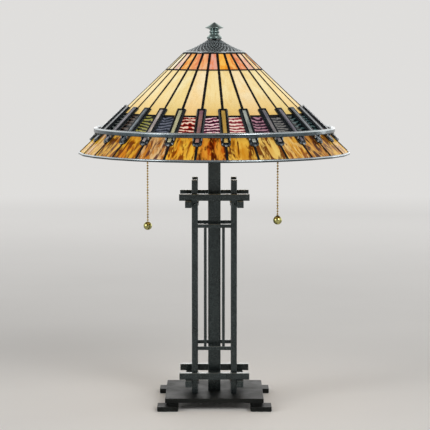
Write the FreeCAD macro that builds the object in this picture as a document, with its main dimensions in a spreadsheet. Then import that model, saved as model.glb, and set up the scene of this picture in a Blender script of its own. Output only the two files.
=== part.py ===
import FreeCAD, Part
import math
import os
import re
import Sketcher

# Stained glass table lamp: a conical leaded shade over a twin-light cluster, on a square
# column inside a lattice of posts and crossed bars.
# Frame: +Z up, millimetres, origin on the table under the centre of the base, front is -Y.

os.makedirs("parts", exist_ok=True)
doc = FreeCAD.newDocument("StainedGlassTableLamp")

# ---------------------------------------------------------------------------- driving sizes
SIZES = (
    ("felt_thick", 1.0, "felt under each foot"),
    ("felt_inset", 1.0, "felt kept back from a foot's edges"),
    ("foot_side", 32.0, "side of a foot's square pad"),
    ("foot_offset", 71.2, "foot pad centre from the lamp's axis, in X and in Y"),
    ("foot_thick", 6.6, "thickness of a foot's pad"),
    ("riser_side", 18.0, "side of the block between pad and plate"),
    ("riser_offset", 64.0, "block centre from the lamp's axis"),
    ("riser_high", 4.0, "height of that block"),
    ("plate_side", 151.0, "side of the square base plate"),
    ("plate_thick", 6.4, "thickness of the base plate"),
    ("edge_break", 0.8, "small chamfers on the plate and the hoop"),
    ("screw_cover", 1.4, "metal left over a foot screw"),
    ("bolt_shank", 4.0, "hole radius of the bolt that holds the column"),
    ("bolt_head", 7.0, "head radius of that bolt"),
    ("bolt_head_high", 5.0, "head height of that bolt"),
    ("column_side", 19.4, "side of the square column tube"),
    ("column_wall", 1.6, "wall of the column tube"),
    ("column_corner", 1.8, "outside corner radius of the column"),
    ("column_top", 381.0, "top of the column, inside the shade"),
    ("plug_high", 16.0, "height of the plug in the column's top"),
    ("foot_plug_high", 10.0, "height of the plug in its foot, under the cord outlet"),
    ("slip", 0.1, "gap round a plug or a stud"),
    ("grommet_z", 35.0, "height of the cord outlet in the column's rear wall"),
    ("grommet_bore", 3.2, "inside radius of the cord outlet"),
    ("grommet_neck", 4.4, "radius of the grommet's neck"),
    ("grommet_flange", 5.8, "radius of the grommet's flange"),
    ("grommet_lip", 1.9, "the grommet's lip inside the column"),
    ("grommet_face", 1.7, "thickness of its flange outside"),
    ("post_side", 9.0, "side of a square post"),
    ("post_offset", 30.3, "post centre from the lamp's axis, in X and in Y"),
    ("post_top", 350.3, "top of the posts"),
    ("bar_long", 108.0, "length of a crossed bar"),
    ("bar_deep", 10.0, "depth of a crossed bar"),
    ("bar_high", 10.2, "height of a crossed bar"),
    ("bars_top_z", 329.2, "top of the upper front and rear bars"),
    ("bars_low_z", 51.6, "top of the lower front and rear bars"),
    ("rail_high", 5.6, "height of a thin rail between two posts"),
    ("rail_deep", 5.0, "depth of a thin rail"),
    ("rail_upper_z", 281.8, "top of the upper rails"),
    ("rail_lower_z", 91.4, "top of the lower rails"),
    ("rod_side", 4.2, "side of a square inner rod"),
    ("rod_offset", 14.1, "rod centre from the middle of its rail"),
    ("screw_shank", 1.6, "shank radius of the small screws"),
    ("screw_head", 3.1, "head radius of the small screws"),
    ("screw_head_high", 1.8, "head height of the small screws"),
    ("post_bite", 12.0, "depth of the screw up into a post"),
    ("bar_skin", 3.0, "metal left in front of a bar's screws"),
    ("rivet_z", 312.6, "height of the round rivet heads on the posts"),
    ("rivet_radius", 2.3, "radius of a rivet head"),
    ("rivet_edge", 0.5, "height of its edge"),
    ("rivet_dome", 1.4, "rise of its dome over the edge"),
    ("pipe_radius", 4.9, "radius of the threaded stem pipe"),
    ("pipe_bore", 3.3, "bore of the stem pipe"),
    ("pipe_top", 549.0, "top of the stem pipe"),
    ("nut_corner", 8.2, "corner radius of the two nuts on the pipe"),
    ("nut_high", 4.0, "height of those nuts"),
    ("hub_radius", 17.0, "radius of the cluster hub"),
    ("hub_high", 19.0, "height of the cluster hub"),
    ("hub_core", 4.0, "wall between the pipe and an arm's seat"),
    ("arm_z", 390.0, "height of the two socket arms"),
    ("arm_radius", 5.0, "radius of a socket arm"),
    ("arm_wall", 1.5, "wall of a socket arm"),
    ("socket_z", 378.0, "underside of the sockets"),
    ("socket_radius", 17.5, "outside radius of a socket"),
    ("socket_wall", 0.9, "wall of the socket shells"),
    ("socket_corner", 5.0, "round foot of a socket's cap"),
    ("liner_gap", 0.7, "gap between shell and paper liner"),
    ("liner_lift", 7.0, "foot of the paper liner, above the spout"),
    ("liner_thick", 0.9, "thickness of the liner"),
    ("screw_shell_wall", 0.6, "wall of the screw shell"),
    ("screw_shell_lift", 8.0, "floor of the screw shell, above the spout"),
    ("switch_radius", 13.9, "radius of the switch body"),
    ("switch_z", 14.0, "switch body above the socket's underside"),
    ("switch_high", 18.0, "height of the switch body"),
    ("socket_cap_high", 20.0, "height of a socket's lower cap"),
    ("socket_high", 57.0, "height of a whole socket"),
    ("screw_shell_bore", 13.35, "inside radius of the screw shell"),
    ("bulb_base_radius", 13.05, "radius of a bulb's screw base"),
    ("bulb_radius", 24.0, "radius of a bulb"),
    ("bulb_neck", 12.2, "radius of a bulb's neck"),
    ("bulb_top", 498.0, "top of the bulbs"),
    ("bulb_tip", 5.0, "radius of a bulb base's contact end"),
    ("bulb_lift", 9.0, "contact end of a bulb, above the spout"),
    ("spout_z", 402.0, "height of the chain spouts"),
    ("spout_reach", 48.6, "chain from its socket's axis"),
    ("spout_bend", 7.0, "bend radius of a chain spout"),
    ("spout_radius", 3.9, "outside radius of a chain spout"),
    ("spout_bore", 3.1, "inside radius of a chain spout"),
    ("spout_bell", 6.4, "mouth radius of a chain spout"),
    ("spout_mouth_z", 384.0, "mouth of the chain spouts"),
    ("spout_flare", 4.0, "height of the bell at that mouth"),
    ("chain_left_x", -106.0, "left chain"),
    ("chain_left_y", 62.0, "left chain"),
    ("chain_right_x", 96.1, "right chain"),
    ("chain_right_y", -62.0, "right chain"),
    ("chain_top", 397.0, "top of both chains, inside the spouts"),
    ("bead_radius", 1.6, "bead of the pull chains"),
    ("bead_pitch", 4.32, "bead to bead"),
    ("link_radius", 0.55, "wire between two beads"),
    ("knob_radius", 6.8, "ball at the end of a chain"),
    ("knob_left_z", 269.5, "centre of the left ball"),
    ("knob_right_z", 291.2, "centre of the right ball"),
    ("knob_cone_high", 2.0, "cone on top of the right ball"),
    ("knob_cone_radius", 4.0, "foot of that cone"),
    ("shade_facets", 28, "flat facets round the shade"),
    ("first_seam", 5.2, "first seam, degrees from the front towards the right"),
    ("cone_radius", 74.2, "seam radius at the joint of the top and cream bands"),
    ("cone_z", 519.0, "outer glass surface at that joint"),
    ("cone_fall", 0.945, "fall of the glass per millimetre of radius"),
    ("shade_top_radius", 48.0, "seam radius at the shade's upper opening"),
    ("ripple_radius", 144.7, "seam radius where the ripple band starts"),
    ("amber_radius", 172.0, "seam radius where the amber band starts"),
    ("rim_radius", 208.0, "seam radius at the centre of the rim bead"),
    ("rim_bead", 2.2, "radius of the rim bead"),
    ("glass_thick", 4.0, "upright thickness of the sloping glass"),
    ("lead_proud", 0.55, "lead above and below the glass, measured upright"),
    ("lead_half", 1.35, "half the width of a lead line"),
    ("strip_bar_start", 136.0, "seam radius at the top end of a raised bar"),
    ("strip_bar_end", 189.4, "seam radius at the low end of a raised bar"),
    ("strip_bar_wide", 14.6, "width of a raised bar"),
    ("strip_bar_high", 3.9, "height of a raised bar"),
    ("strip_bar_bevel", 1.9, "bevel along a raised bar's top edges"),
    ("strip_wide", 6.6, "width of the glass strip in a raised bar"),
    ("strip_deep", 1.5, "depth of the glass strip in its bar"),
    ("strip_margin", 3.4, "lead left at both ends of the strip"),
    ("tip_radius", 1.9, "solder ball at the low end of a raised bar"),
    ("hoop_radius", 186.4, "outside radius of the hoop"),
    ("hoop_wide", 5.5, "width of the hoop"),
    ("hoop_z", 422.8, "underside of the hoop"),
    ("hoop_high", 7.5, "height of the hoop"),
    ("clip_offset", 5.2, "hoop clip from the middle of its bar"),
    ("clip_wide", 1.8, "width of a hoop clip"),
    ("clip_deep", 2.6, "depth of a hoop clip"),
    ("clip_long", 3.6, "height of a hoop clip"),
    ("top_ring_radius", 47.6, "outside radius of the ring in the shade's opening"),
    ("top_ring_wide", 4.2, "width of that ring"),
    ("top_ring_z", 541.0, "underside of that ring"),
    ("top_ring_high", 3.8, "height of that ring"),
    ("wheel_z", 537.6, "underside of the shade's spoked wheel"),
    ("wheel_thick", 3.4, "thickness of the wheel"),
    ("wheel_spoke", 5.0, "width of a spoke"),
    ("wheel_inset", 1.0, "wheel inside the ring's outer edge"),
    ("wheel_rim", 4.0, "width of the wheel's rim"),
    ("wheel_hub", 6.0, "width of its hub round the pipe"),
    ("cap_radius", 48.4, "outside radius of the cap"),
    ("cap_z", 544.8, "edge of the cap"),
    ("cap_neck", 10.9, "radius of the cap's top"),
    ("cap_top", 565.0, "top of the cap"),
    ("cap_curve", 150.0, "radius of the cap's hollow curve"),
    ("cap_thick", 1.5, "thickness of the cap"),
    ("stud_radius", 3.15, "radius of the finial's stud"),
    ("finial_gap", 0.3, "gap between cap and finial"),
    ("finial_collar", 11.9, "radius of the finial's collar"),
    ("finial_neck", 6.9, "radius of the two grooves in the finial's neck"),
    ("finial_ring", 8.1, "radius of the ring between the grooves"),
    ("finial_ring_z", 576.2, "middle of that ring"),
    ("finial_disc", 14.6, "radius of the finial's disc"),
    ("finial_disc_z", 582.6, "widest height of the disc"),
    ("finial_tip", 1.2, "radius of the blunt tip of the cone on the disc"),
    ("lamp_top", 591.0, "top of the finial"),
)

sheet = doc.addObject("Spreadsheet::Sheet", "Sizes")
for row, (alias, number, note) in enumerate(SIZES, 1):
    sheet.set(f"A{row}", note)
    sheet.set(f"B{row}", str(number))
    sheet.setAlias(f"B{row}", alias)
doc.recompute()

NODES = []


def refs(text):
    """An expression over the sheet's aliases, in the form that setExpression takes."""
    return re.sub(r"\b[a-z]\w*\b(?!\()", lambda word: "Sizes." + word.group(), text)


def value(text):
    """The number that such an expression has now."""
    return float(sheet.evalExpression(refs(text)))


def size(alias):
    return float(sheet.get(alias))


def node(label, thing):
    """Name a finished sub-part: its label is its file's name."""
    thing.Label = label
    NODES.append(thing)
    return thing


def bind(thing, **expressions):
    for name, text in expressions.items():
        thing.setExpression(name, refs(text))


def place(thing, at, turn=None):
    """Bind a thing's position to the sheet, with an optional turn (axis, degrees)."""
    if turn:
        rotation = FreeCAD.Rotation(FreeCAD.Vector(*turn[0]), turn[1])
        thing.Placement = FreeCAD.Placement(FreeCAD.Vector(), rotation)
    for axis, text in zip("xyz", at):
        thing.setExpression("Placement.Base." + axis, refs(text))
    return thing


# ---------------------------------------------------------------------------- building blocks
FACING = {"+z": None, "-z": ((1, 0, 0), 180), "+x": ((0, 1, 0), 90), "-x": ((0, 1, 0), -90),
          "+y": ((1, 0, 0), -90), "-y": ((1, 0, 0), 90)}


def box(name, sides, at):
    """A box with sides (x, y, z), centred on at in X and Y and standing on its height."""
    thing = doc.addObject("Part::Box", name)
    bind(thing, Length=sides[0], Width=sides[1], Height=sides[2])
    corner = (f"({at[0]}) - ({sides[0]}) / 2", f"({at[1]}) - ({sides[1]}) / 2", at[2])
    return place(thing, corner)


def cylinder(name, radius, length, at, facing="+z"):
    thing = doc.addObject("Part::Cylinder", name)
    bind(thing, Radius=radius, Height=length)
    return place(thing, at, FACING[facing])


def group(name, things):
    thing = doc.addObject("Part::Compound", name)
    thing.Links = things
    return thing


def fused(name, things):
    thing = doc.addObject("Part::MultiFuse", name)
    thing.Shapes = things
    return thing


def cut(name, base, tools):
    thing = doc.addObject("Part::Cut", name)
    thing.Base = base
    thing.Tool = tools[0] if len(tools) == 1 else group(name + "_tools", tools)
    return thing


def screw(name, at, facing, length, head="screw_head", shank="screw_shank", high="screw_head_high"):
    """A headed screw: at is the underside of its head, and its shank points along facing."""
    axis = "xyz".index(facing[1])
    back = list(at)
    back[axis] += (" - " if facing[0] == "+" else " + ") + high
    return fused(name, [cylinder(name + "_head", head, high, back, facing),
                        cylinder(name + "_shank", shank, length, at, facing)])


def plane_of(body, role):
    return next(plane for plane in body.Origin.OriginFeatures if plane.Role == role)


def sketch_on(body, role, name):
    sketch = body.newObject("Sketcher::SketchObject", name)
    sketch.AttachmentSupport = [(plane_of(body, role), "")]
    sketch.MapMode = "FlatFace"
    return sketch


def pin_point(sketch, geometry, position, corner):
    """Hold one point of a sketch at two expressions of the sheet."""
    for kind, text in zip(("DistanceX", "DistanceY"), corner):
        rule = Sketcher.Constraint(kind, -1, 1, geometry, position, value(text))
        number = sketch.addConstraint(rule)
        sketch.setExpression(f"Constraints[{number}]", refs(text))


def arc_between(start, end, radius):
    """An arc from start to end; a positive radius keeps its centre on the left of the way."""
    middle, across = (start + end) * 0.5, end - start
    left = FreeCAD.Vector(-across.y, across.x, 0).normalize() * math.copysign(1, radius)
    centre = middle + left * math.sqrt(radius ** 2 - (across.Length / 2) ** 2)
    first, last = (start, end) if radius > 0 else (end, start)
    angles = [math.atan2(point.y - centre.y, point.x - centre.x) for point in (first, last)]
    if angles[1] < angles[0]:
        angles[1] += 2 * math.pi
    return Part.ArcOfCircle(Part.Circle(centre, FreeCAD.Vector(0, 0, 1), abs(radius)), *angles)


def dome(reach, rise):
    """Radius of an arc that rises to the axis from a point at reach from it."""
    return f"(({reach}) * ({reach}) + ({rise}) * ({rise})) / (2 * ({rise}))"


def outline(sketch, corners):
    """A closed outline. A corner is (x, y) or (x, y, radius of the arc to the next corner)."""
    points = [FreeCAD.Vector(value(corner[0]), value(corner[1]), 0) for corner in corners]
    ends = []
    for index, corner in enumerate(corners):
        start, end = points[index], points[(index + 1) % len(points)]
        curved = len(corner) > 2
        edge = arc_between(start, end, value(corner[2])) if curved else Part.LineSegment(start, end)
        geometry = sketch.addGeometry(edge, False)
        backwards = curved and value(corner[2]) < 0
        ends.append((geometry, 2, 1) if backwards else (geometry, 1, 2))
    for index, corner in enumerate(corners):
        geometry, first, last = ends[index]
        backwards = first == 2
        following = ends[(index + 1) % len(ends)]
        sketch.addConstraint(Sketcher.Constraint("Coincident", geometry, last, following[0], following[1]))
        pin_point(sketch, geometry, first, corner)
        if len(corner) > 2:
            number = sketch.addConstraint(Sketcher.Constraint("Radius", geometry, abs(value(corner[2]))))
            sign = "-" if backwards else ""
            sketch.setExpression(f"Constraints[{number}]", refs(f"{sign}({corner[2]})"))


def revolved(name, corners):
    """A body turned about its own Z axis from an outline in its XZ plane."""
    body = doc.addObject("PartDesign::Body", name)
    sketch = sketch_on(body, "XZ_Plane", name + "_profile")
    outline(sketch, corners)
    turned = body.newObject("PartDesign::Revolution", name + "_turned")
    turned.Profile = sketch
    turned.ReferenceAxis = (sketch, ["V_Axis"])
    turned.Angle = 360
    return body


def padded(name, corners, length):
    """A body padded up from an outline in its XY plane."""
    body = doc.addObject("PartDesign::Body", name)
    sketch = sketch_on(body, "XY_Plane", name + "_outline")
    outline(sketch, corners)
    pad = body.newObject("PartDesign::Pad", name + "_pad")
    pad.Profile = sketch
    bind(pad, Length=length)
    return body


def square(side):
    half = f"({side}) / 2"
    return ((f"-{half}", f"-{half}"), (half, f"-{half}"), (half, half), (f"-{half}", half))


def soften(body, name, kind, chosen, amount):
    """Fillet or chamfer the edges of a body that chosen(edge) picks."""
    doc.recompute()
    base = body.Tip
    edges = [f"Edge{number}" for number, edge in enumerate(base.Shape.Edges, 1) if chosen(edge)]
    feature = body.newObject("PartDesign::" + kind, name)
    feature.Base = (base, edges)
    feature.setExpression("Radius" if kind == "Fillet" else "Size", refs(amount))
    return feature


def upright(edge):
    return abs(edge.tangentAt(edge.FirstParameter).z) > 0.99


def level(edge):
    return abs(edge.tangentAt(edge.FirstParameter).z) < 0.01


def drill(body, name, role, centres, radius, depth, backwards):
    """Pocket round holes into a body from one of its planes, and check that metal went."""
    doc.recompute()
    before = body.Shape.Volume
    sketch = sketch_on(body, role, name + "_centres")
    for centre in centres:
        start = FreeCAD.Vector(value(centre[0]), value(centre[1]), 0)
        geometry = sketch.addGeometry(Part.Circle(start, FreeCAD.Vector(0, 0, 1), value(radius)), False)
        pin_point(sketch, geometry, 3, centre)
        number = sketch.addConstraint(Sketcher.Constraint("Radius", geometry, value(radius)))
        sketch.setExpression(f"Constraints[{number}]", refs(radius))
    pocket = body.newObject("PartDesign::Pocket", name)
    pocket.Profile = sketch
    bind(pocket, Length=depth)
    pocket.Reversed = backwards
    doc.recompute()
    if body.Shape.Volume >= before - 1:
        raise RuntimeError(name + " cuts nothing")


SIDES = (("front", 0, -1), ("rear", 0, 1), ("left", -1, 0), ("right", 1, 0))
QUARTERS = ((-1, -1), (1, -1), (-1, 1), (1, 1))


def signed(sign, text):
    return f"{sign} * ({text})"


# ---------------------------------------------------------------------------- base and feet
PLATE_Z = "felt_thick + foot_thick + riser_high"
FLOOR_Z = PLATE_Z + " + plate_thick"


def build_base():
    plate = padded("base_plate", square("plate_side"), "plate_thick")
    soften(plate, "plate_edges", "Chamfer", lambda edge: level(edge) and edge.CenterOfMass.z > 1,
           "edge_break")
    posts = [(signed(x, "post_offset"), signed(y, "post_offset")) for x, y in QUARTERS]
    feet = [(signed(x, "riser_offset"), signed(y, "riser_offset")) for x, y in QUARTERS]
    drill(plate, "post_holes", "XY_Plane", posts, "screw_shank", "plate_thick", True)
    drill(plate, "post_sinks", "XY_Plane", posts, "screw_head", "screw_head_high", True)
    drill(plate, "foot_holes", "XY_Plane", feet, "screw_shank", "plate_thick - screw_cover", True)
    drill(plate, "bolt_hole", "XY_Plane", [("0", "0")], "bolt_shank", "plate_thick", True)
    node("base_plate", place(plate, ("0", "0", PLATE_Z)))

    felt_side = "foot_side - 2 * felt_inset"
    feet, felts, foot_screws, post_screws = [], [], [], []
    for x, y in QUARTERS:
        tag = f"_{x}_{y}".replace("-", "n")
        pad_at = (signed(x, "foot_offset"), signed(y, "foot_offset"))
        riser_at = (signed(x, "riser_offset"), signed(y, "riser_offset"))
        pad = box("foot_pad" + tag, ("foot_side", "foot_side", "foot_thick"), (*pad_at, "felt_thick"))
        riser = box("foot_riser" + tag, ("riser_side", "riser_side", "riser_high"),
                    (*riser_at, "felt_thick + foot_thick"))
        hole = cylinder("foot_bore" + tag, "screw_shank", "foot_thick + riser_high",
                        (*riser_at, "felt_thick"))
        sink = cylinder("foot_sink" + tag, "screw_head", "screw_head_high", (*riser_at, "felt_thick"))
        feet.append(cut("foot" + tag, fused("foot_block" + tag, [pad, riser]), [hole, sink]))
        felts.append(box("felt" + tag, (felt_side, felt_side, "felt_thick"), (*pad_at, "0")))
        foot_screws.append(screw("foot_screw" + tag, (*riser_at, "felt_thick + screw_head_high"), "+z",
                                 "foot_thick + riser_high + plate_thick - screw_cover - screw_head_high"))
        post_at = (signed(x, "post_offset"), signed(y, "post_offset"))
        post_screws.append(screw("post_screw" + tag, (*post_at, PLATE_Z + " + screw_head_high"), "+z",
                                 "plate_thick - screw_head_high + post_bite"))
    node("feet", group("feet", feet))
    node("felt_pads", group("felt_pads", felts))
    node("foot_screws", group("foot_screws", foot_screws))
    node("post_screws", group("post_screws", post_screws))


# ---------------------------------------------------------------------------- column
def build_column():
    inner = "column_side - 2 * column_wall"
    column = padded("column", square("column_side"), f"column_top - ({FLOOR_Z})")
    soften(column, "column_corners", "Fillet", upright, "column_corner")
    bore = sketch_on(column, "XY_Plane", "column_bore")
    outline(bore, square(inner))
    hollow = column.newObject("PartDesign::Pocket", "column_hollow")
    hollow.Profile = bore
    hollow.Type = "ThroughAll"
    hollow.Reversed = True
    drill(column, "cord_hole", "XZ_Plane", [("0", f"grommet_z - ({FLOOR_Z})")], "grommet_neck",
          "column_side / 2", False)
    node("column", place(column, ("0", "0", FLOOR_Z)))

    plug_side = f"{inner} - 2 * slip"
    foot_plug = cut("column_foot_plug",
                    box("foot_plug_block", (plug_side, plug_side, "foot_plug_high"), ("0", "0", FLOOR_Z)),
                    [cylinder("foot_plug_bore", "bolt_shank", "foot_plug_high", ("0", "0", FLOOR_Z))])
    node("column_foot_plug", foot_plug)
    node("column_bolt", screw("column_bolt", ("0", "0", PLATE_Z), "+z", "plate_thick + foot_plug_high - 1",
                              "bolt_head", "bolt_shank - slip / 2", "bolt_head_high"))
    plug_at = ("0", "0", "column_top - plug_high")
    top_plug = box("top_plug_block", (plug_side, plug_side, "plug_high"), plug_at)
    top_bore = cylinder("top_plug_bore", "pipe_radius", "plug_high", plug_at)
    node("column_top_plug", cut("column_top_plug", top_plug, [top_bore]))

    wall, face = "column_wall", "column_side / 2"
    grommet = revolved("cord_grommet", (
        ("grommet_bore", "0 - slip - grommet_lip"), ("grommet_flange - 0.6", "0 - slip - grommet_lip"),
        ("grommet_flange - 0.6", "0 - slip"), ("grommet_neck - slip / 2", "0 - slip"),
        ("grommet_neck - slip / 2", f"{wall} + slip"), ("grommet_flange", f"{wall} + slip"),
        ("grommet_flange", f"{wall} + slip + 1"), ("grommet_flange - 0.7", f"{wall} + slip + grommet_face"),
        ("grommet_bore", f"{wall} + slip + grommet_face")))
    place(grommet, ("0", f"{face} - {wall}", "grommet_z"), FACING["+y"])
    node("cord_grommet", grommet)


# ---------------------------------------------------------------------------- lattice
def build_lattice():
    inner_face, outer_face = "post_offset - post_side / 2", "post_offset + post_side / 2"
    bar_centre = outer_face + " + bar_deep / 2"
    levels = (("top", "bars_top_z"), ("low", "bars_low_z"))
    posts, screws, rivets = [], [], []
    for x, y in QUARTERS:
        tag = f"_{x}_{y}".replace("-", "n")
        at = [signed(x, "post_offset"), signed(y, "post_offset"), FLOOR_Z]
        holes = [cylinder("post_foot_hole" + tag, "screw_shank", "post_bite", at)]
        for name, bars_top in levels:
            across, along = f"{bars_top} - bar_high / 2", f"{bars_top} - 1.5 * bar_high"
            y_way, x_way = ("+y" if y > 0 else "-y"), ("+x" if x > 0 else "-x")
            heads = ((y_way, [at[0], signed(y, inner_face), across]),
                     (x_way, [signed(x, inner_face), at[1], along]))
            for way, start in heads:
                label = f"{name}{tag}_{way[1]}"
                holes.append(cylinder("post_hole_" + label, "screw_shank", "post_side", start, way))
                screws.append(screw("bar_screw_" + label, start, way, "post_side + bar_deep - bar_skin"))
        post = box("post_stock" + tag, ("post_side", "post_side", f"post_top - ({FLOOR_Z})"), at)
        posts.append(cut("post" + tag, post, holes))
        rivets.append(rivet(tag, x, y, outer_face))
    node("posts", group("posts", posts))
    node("crossbar_screws", group("crossbar_screws", screws))
    node("post_rivets", group("post_rivets", rivets))

    for name, bars_top in levels:
        for side, x, y in SIDES:
            label = f"crossbar_{name}_{side}"
            if y:
                sides, base = ("bar_long", "bar_deep", "bar_high"), f"{bars_top} - bar_high"
                ends = [(signed(turn, "post_offset"), signed(y, outer_face)) for turn in (-1, 1)]
            else:
                sides, base = ("bar_deep", "bar_long", "bar_high"), f"{bars_top} - 2 * bar_high"
                ends = [(signed(x, outer_face), signed(turn, "post_offset")) for turn in (-1, 1)]
            way = ("+" if x + y > 0 else "-") + ("y" if y else "x")
            stock = box(label + "_stock", sides, (signed(x, bar_centre), signed(y, bar_centre), base))
            holes = [cylinder(f"{label}_hole{number}", "screw_shank", "bar_deep - bar_skin",
                              (*end, f"{base} + bar_high / 2"), way) for number, end in enumerate(ends)]
            node(label, cut(label, stock, holes))

    rails, rods = [], []
    span = f"2 * ({inner_face})"
    rod_sides = ("rod_side", "rod_side", "rail_upper_z - rail_high - rail_lower_z")
    for side, x, y in SIDES:
        middle = (signed(x, "post_offset"), signed(y, "post_offset"))
        sides = (span, "rail_deep", "rail_high") if y else ("rail_deep", span, "rail_high")
        for top in ("rail_upper_z", "rail_lower_z"):
            rails.append(box(f"{top}_{side}", sides, (*middle, f"{top} - rail_high")))
        for turn in (-1, 1):
            shift = signed(turn, "rod_offset")
            at = (shift, middle[1]) if y else (middle[0], shift)
            rods.append(box(f"rod_{side}_{turn}".replace("-", "n"), rod_sides, (*at, "rail_lower_z")))
    node("lattice_rails", group("lattice_rails", rails))
    node("lattice_rods", group("lattice_rods", rods))


def rivet(tag, x, y, outer_face):
    """A domed rivet head on a post's front or rear face."""
    head = revolved("rivet" + tag, (("0", "0"), ("rivet_radius", "0"),
                                    ("rivet_radius", "rivet_edge", dome("rivet_radius", "rivet_dome")),
                                    ("0", "rivet_edge + rivet_dome")))
    way = "+y" if y > 0 else "-y"
    return place(head, (signed(x, "post_offset"), signed(y, outer_face), "rivet_z"), FACING[way])


# ---------------------------------------------------------------------------- stem and cluster
def tube(name, radius, bore, length, at):
    outside = cylinder(name + "_outside", radius, length, at)
    return cut(name, outside, [cylinder(name + "_inside", bore, length, at)])


def nut(name, at):
    stock = doc.addObject("Part::Prism", name + "_stock")
    stock.Polygon = 6
    bind(stock, Circumradius="nut_corner", Height="nut_high")
    return cut(name, place(stock, at), [cylinder(name + "_bore", "pipe_radius", "nut_high", at)])


def sockets():
    """Each socket's side, the angle of its chain about the lamp's axis, and its own radius there."""
    for side in ("left", "right"):
        x, y = size(f"chain_{side}_x"), size(f"chain_{side}_y")
        yield side, math.degrees(math.atan2(y, x)), math.hypot(x, y) - size("spout_reach")


def swing(thing, angle, radius=0.0):
    """Put a thing that was built about its own Z axis, facing +X, at a place about the lamp's axis."""
    turn = FreeCAD.Rotation(FreeCAD.Vector(0, 0, 1), angle)
    thing.Placement = FreeCAD.Placement(turn.multVec(FreeCAD.Vector(radius, 0, 0)), turn)
    return thing


def solid(name, shape):
    thing = doc.addObject("Part::Feature", name)
    thing.Shape = shape
    return thing


def build_stem():
    pipe_from = "column_top - plug_high"
    pipe_long = f"pipe_top - ({pipe_from})"
    node("stem_pipe", tube("stem_pipe", "pipe_radius", "pipe_bore", pipe_long, ("0", "0", pipe_from)))
    hub = revolved("hub_turned", (
        ("pipe_radius", "column_top"), ("hub_radius - 4", "column_top"), ("hub_radius", "column_top + 4"),
        ("hub_radius", "column_top + hub_high - 3"), ("hub_radius - 6", "column_top + hub_high"),
        ("pipe_radius", "column_top + hub_high")))
    seats = []
    for side, angle, _ in sockets():
        seat_at = ("pipe_radius + hub_core", "0", "arm_z")
        seat = cylinder("hub_seat_" + side, "arm_radius", "hub_radius", seat_at, "+x")
        seats.append(swing(group("hub_seat_turned_" + side, [seat]), angle))
    node("cluster_hub", cut("cluster_hub", hub, seats))
    node("hub_locknut", nut("hub_locknut", ("0", "0", "column_top + hub_high")))
    node("wheel_nut", nut("wheel_nut", ("0", "0", "wheel_z - nut_high")))
    node("finial_stud", cylinder("finial_stud", "stud_radius", "finial_disc_z - pipe_top + 14",
                                 ("0", "0", "pipe_top - 14")))


def spout_form(radius, bell):
    """A level tube that bends down over the chain and ends in a bell."""
    reach, bend, level_z = size("spout_reach"), size("spout_bend"), size("spout_z")
    mouth_z, flare = size("spout_mouth_z"), size("spout_flare")
    start, along = FreeCAD.Vector(size("socket_radius") - 3.6, 0, level_z), FreeCAD.Vector(1, 0, 0)
    turn_at = FreeCAD.Vector(reach - bend, 0, level_z)
    straight = Part.makeCylinder(radius, turn_at.x - start.x, start, along)
    section = Part.Face(Part.Wire(Part.makeCircle(radius, turn_at, along)))
    elbow = section.revolve(turn_at - FreeCAD.Vector(0, 0, bend), FreeCAD.Vector(0, 1, 0), 90)
    down_from = FreeCAD.Vector(reach, 0, level_z - bend)
    down = FreeCAD.Vector(0, 0, -1)
    drop = Part.makeCylinder(radius, down_from.z - mouth_z - flare, down_from, down)
    cone = Part.makeCone(radius, bell, flare, FreeCAD.Vector(reach, 0, mouth_z + flare), down)
    return straight.fuse([elbow, drop, cone]).removeSplitter()


def bead_chain(low_end):
    """A bead chain hanging on the Z axis from chain_top down to low_end, turned from one profile."""
    bead, link, pitch = size("bead_radius"), size("link_radius"), size("bead_pitch")
    top = size("chain_top")
    half = math.sqrt(bead ** 2 - link ** 2)
    count = 1 + int((top - low_end - bead - half) / pitch)
    edges, last = [], FreeCAD.Vector(0, 0, top)
    for index in range(count):
        centre = top - bead - index * pitch
        widest = FreeCAD.Vector(bead, 0, centre)
        below = FreeCAD.Vector(link, 0, centre - half)
        if index:
            above = FreeCAD.Vector(link, 0, centre + half)
            edges.append(Part.LineSegment(last, above))
            last = above
        edges.append(Part.Arc(last, widest, below))
        last = below
    foot = FreeCAD.Vector(link, 0, low_end)
    axis_foot, axis_top = FreeCAD.Vector(0, 0, low_end), FreeCAD.Vector(0, 0, top)
    edges += [Part.LineSegment(last, foot), Part.LineSegment(foot, axis_foot),
              Part.LineSegment(axis_foot, axis_top)]
    face = Part.Face(Part.Wire([edge.toShape() for edge in edges]))
    return face.revolve(FreeCAD.Vector(), FreeCAD.Vector(0, 0, 1), 360)


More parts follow.
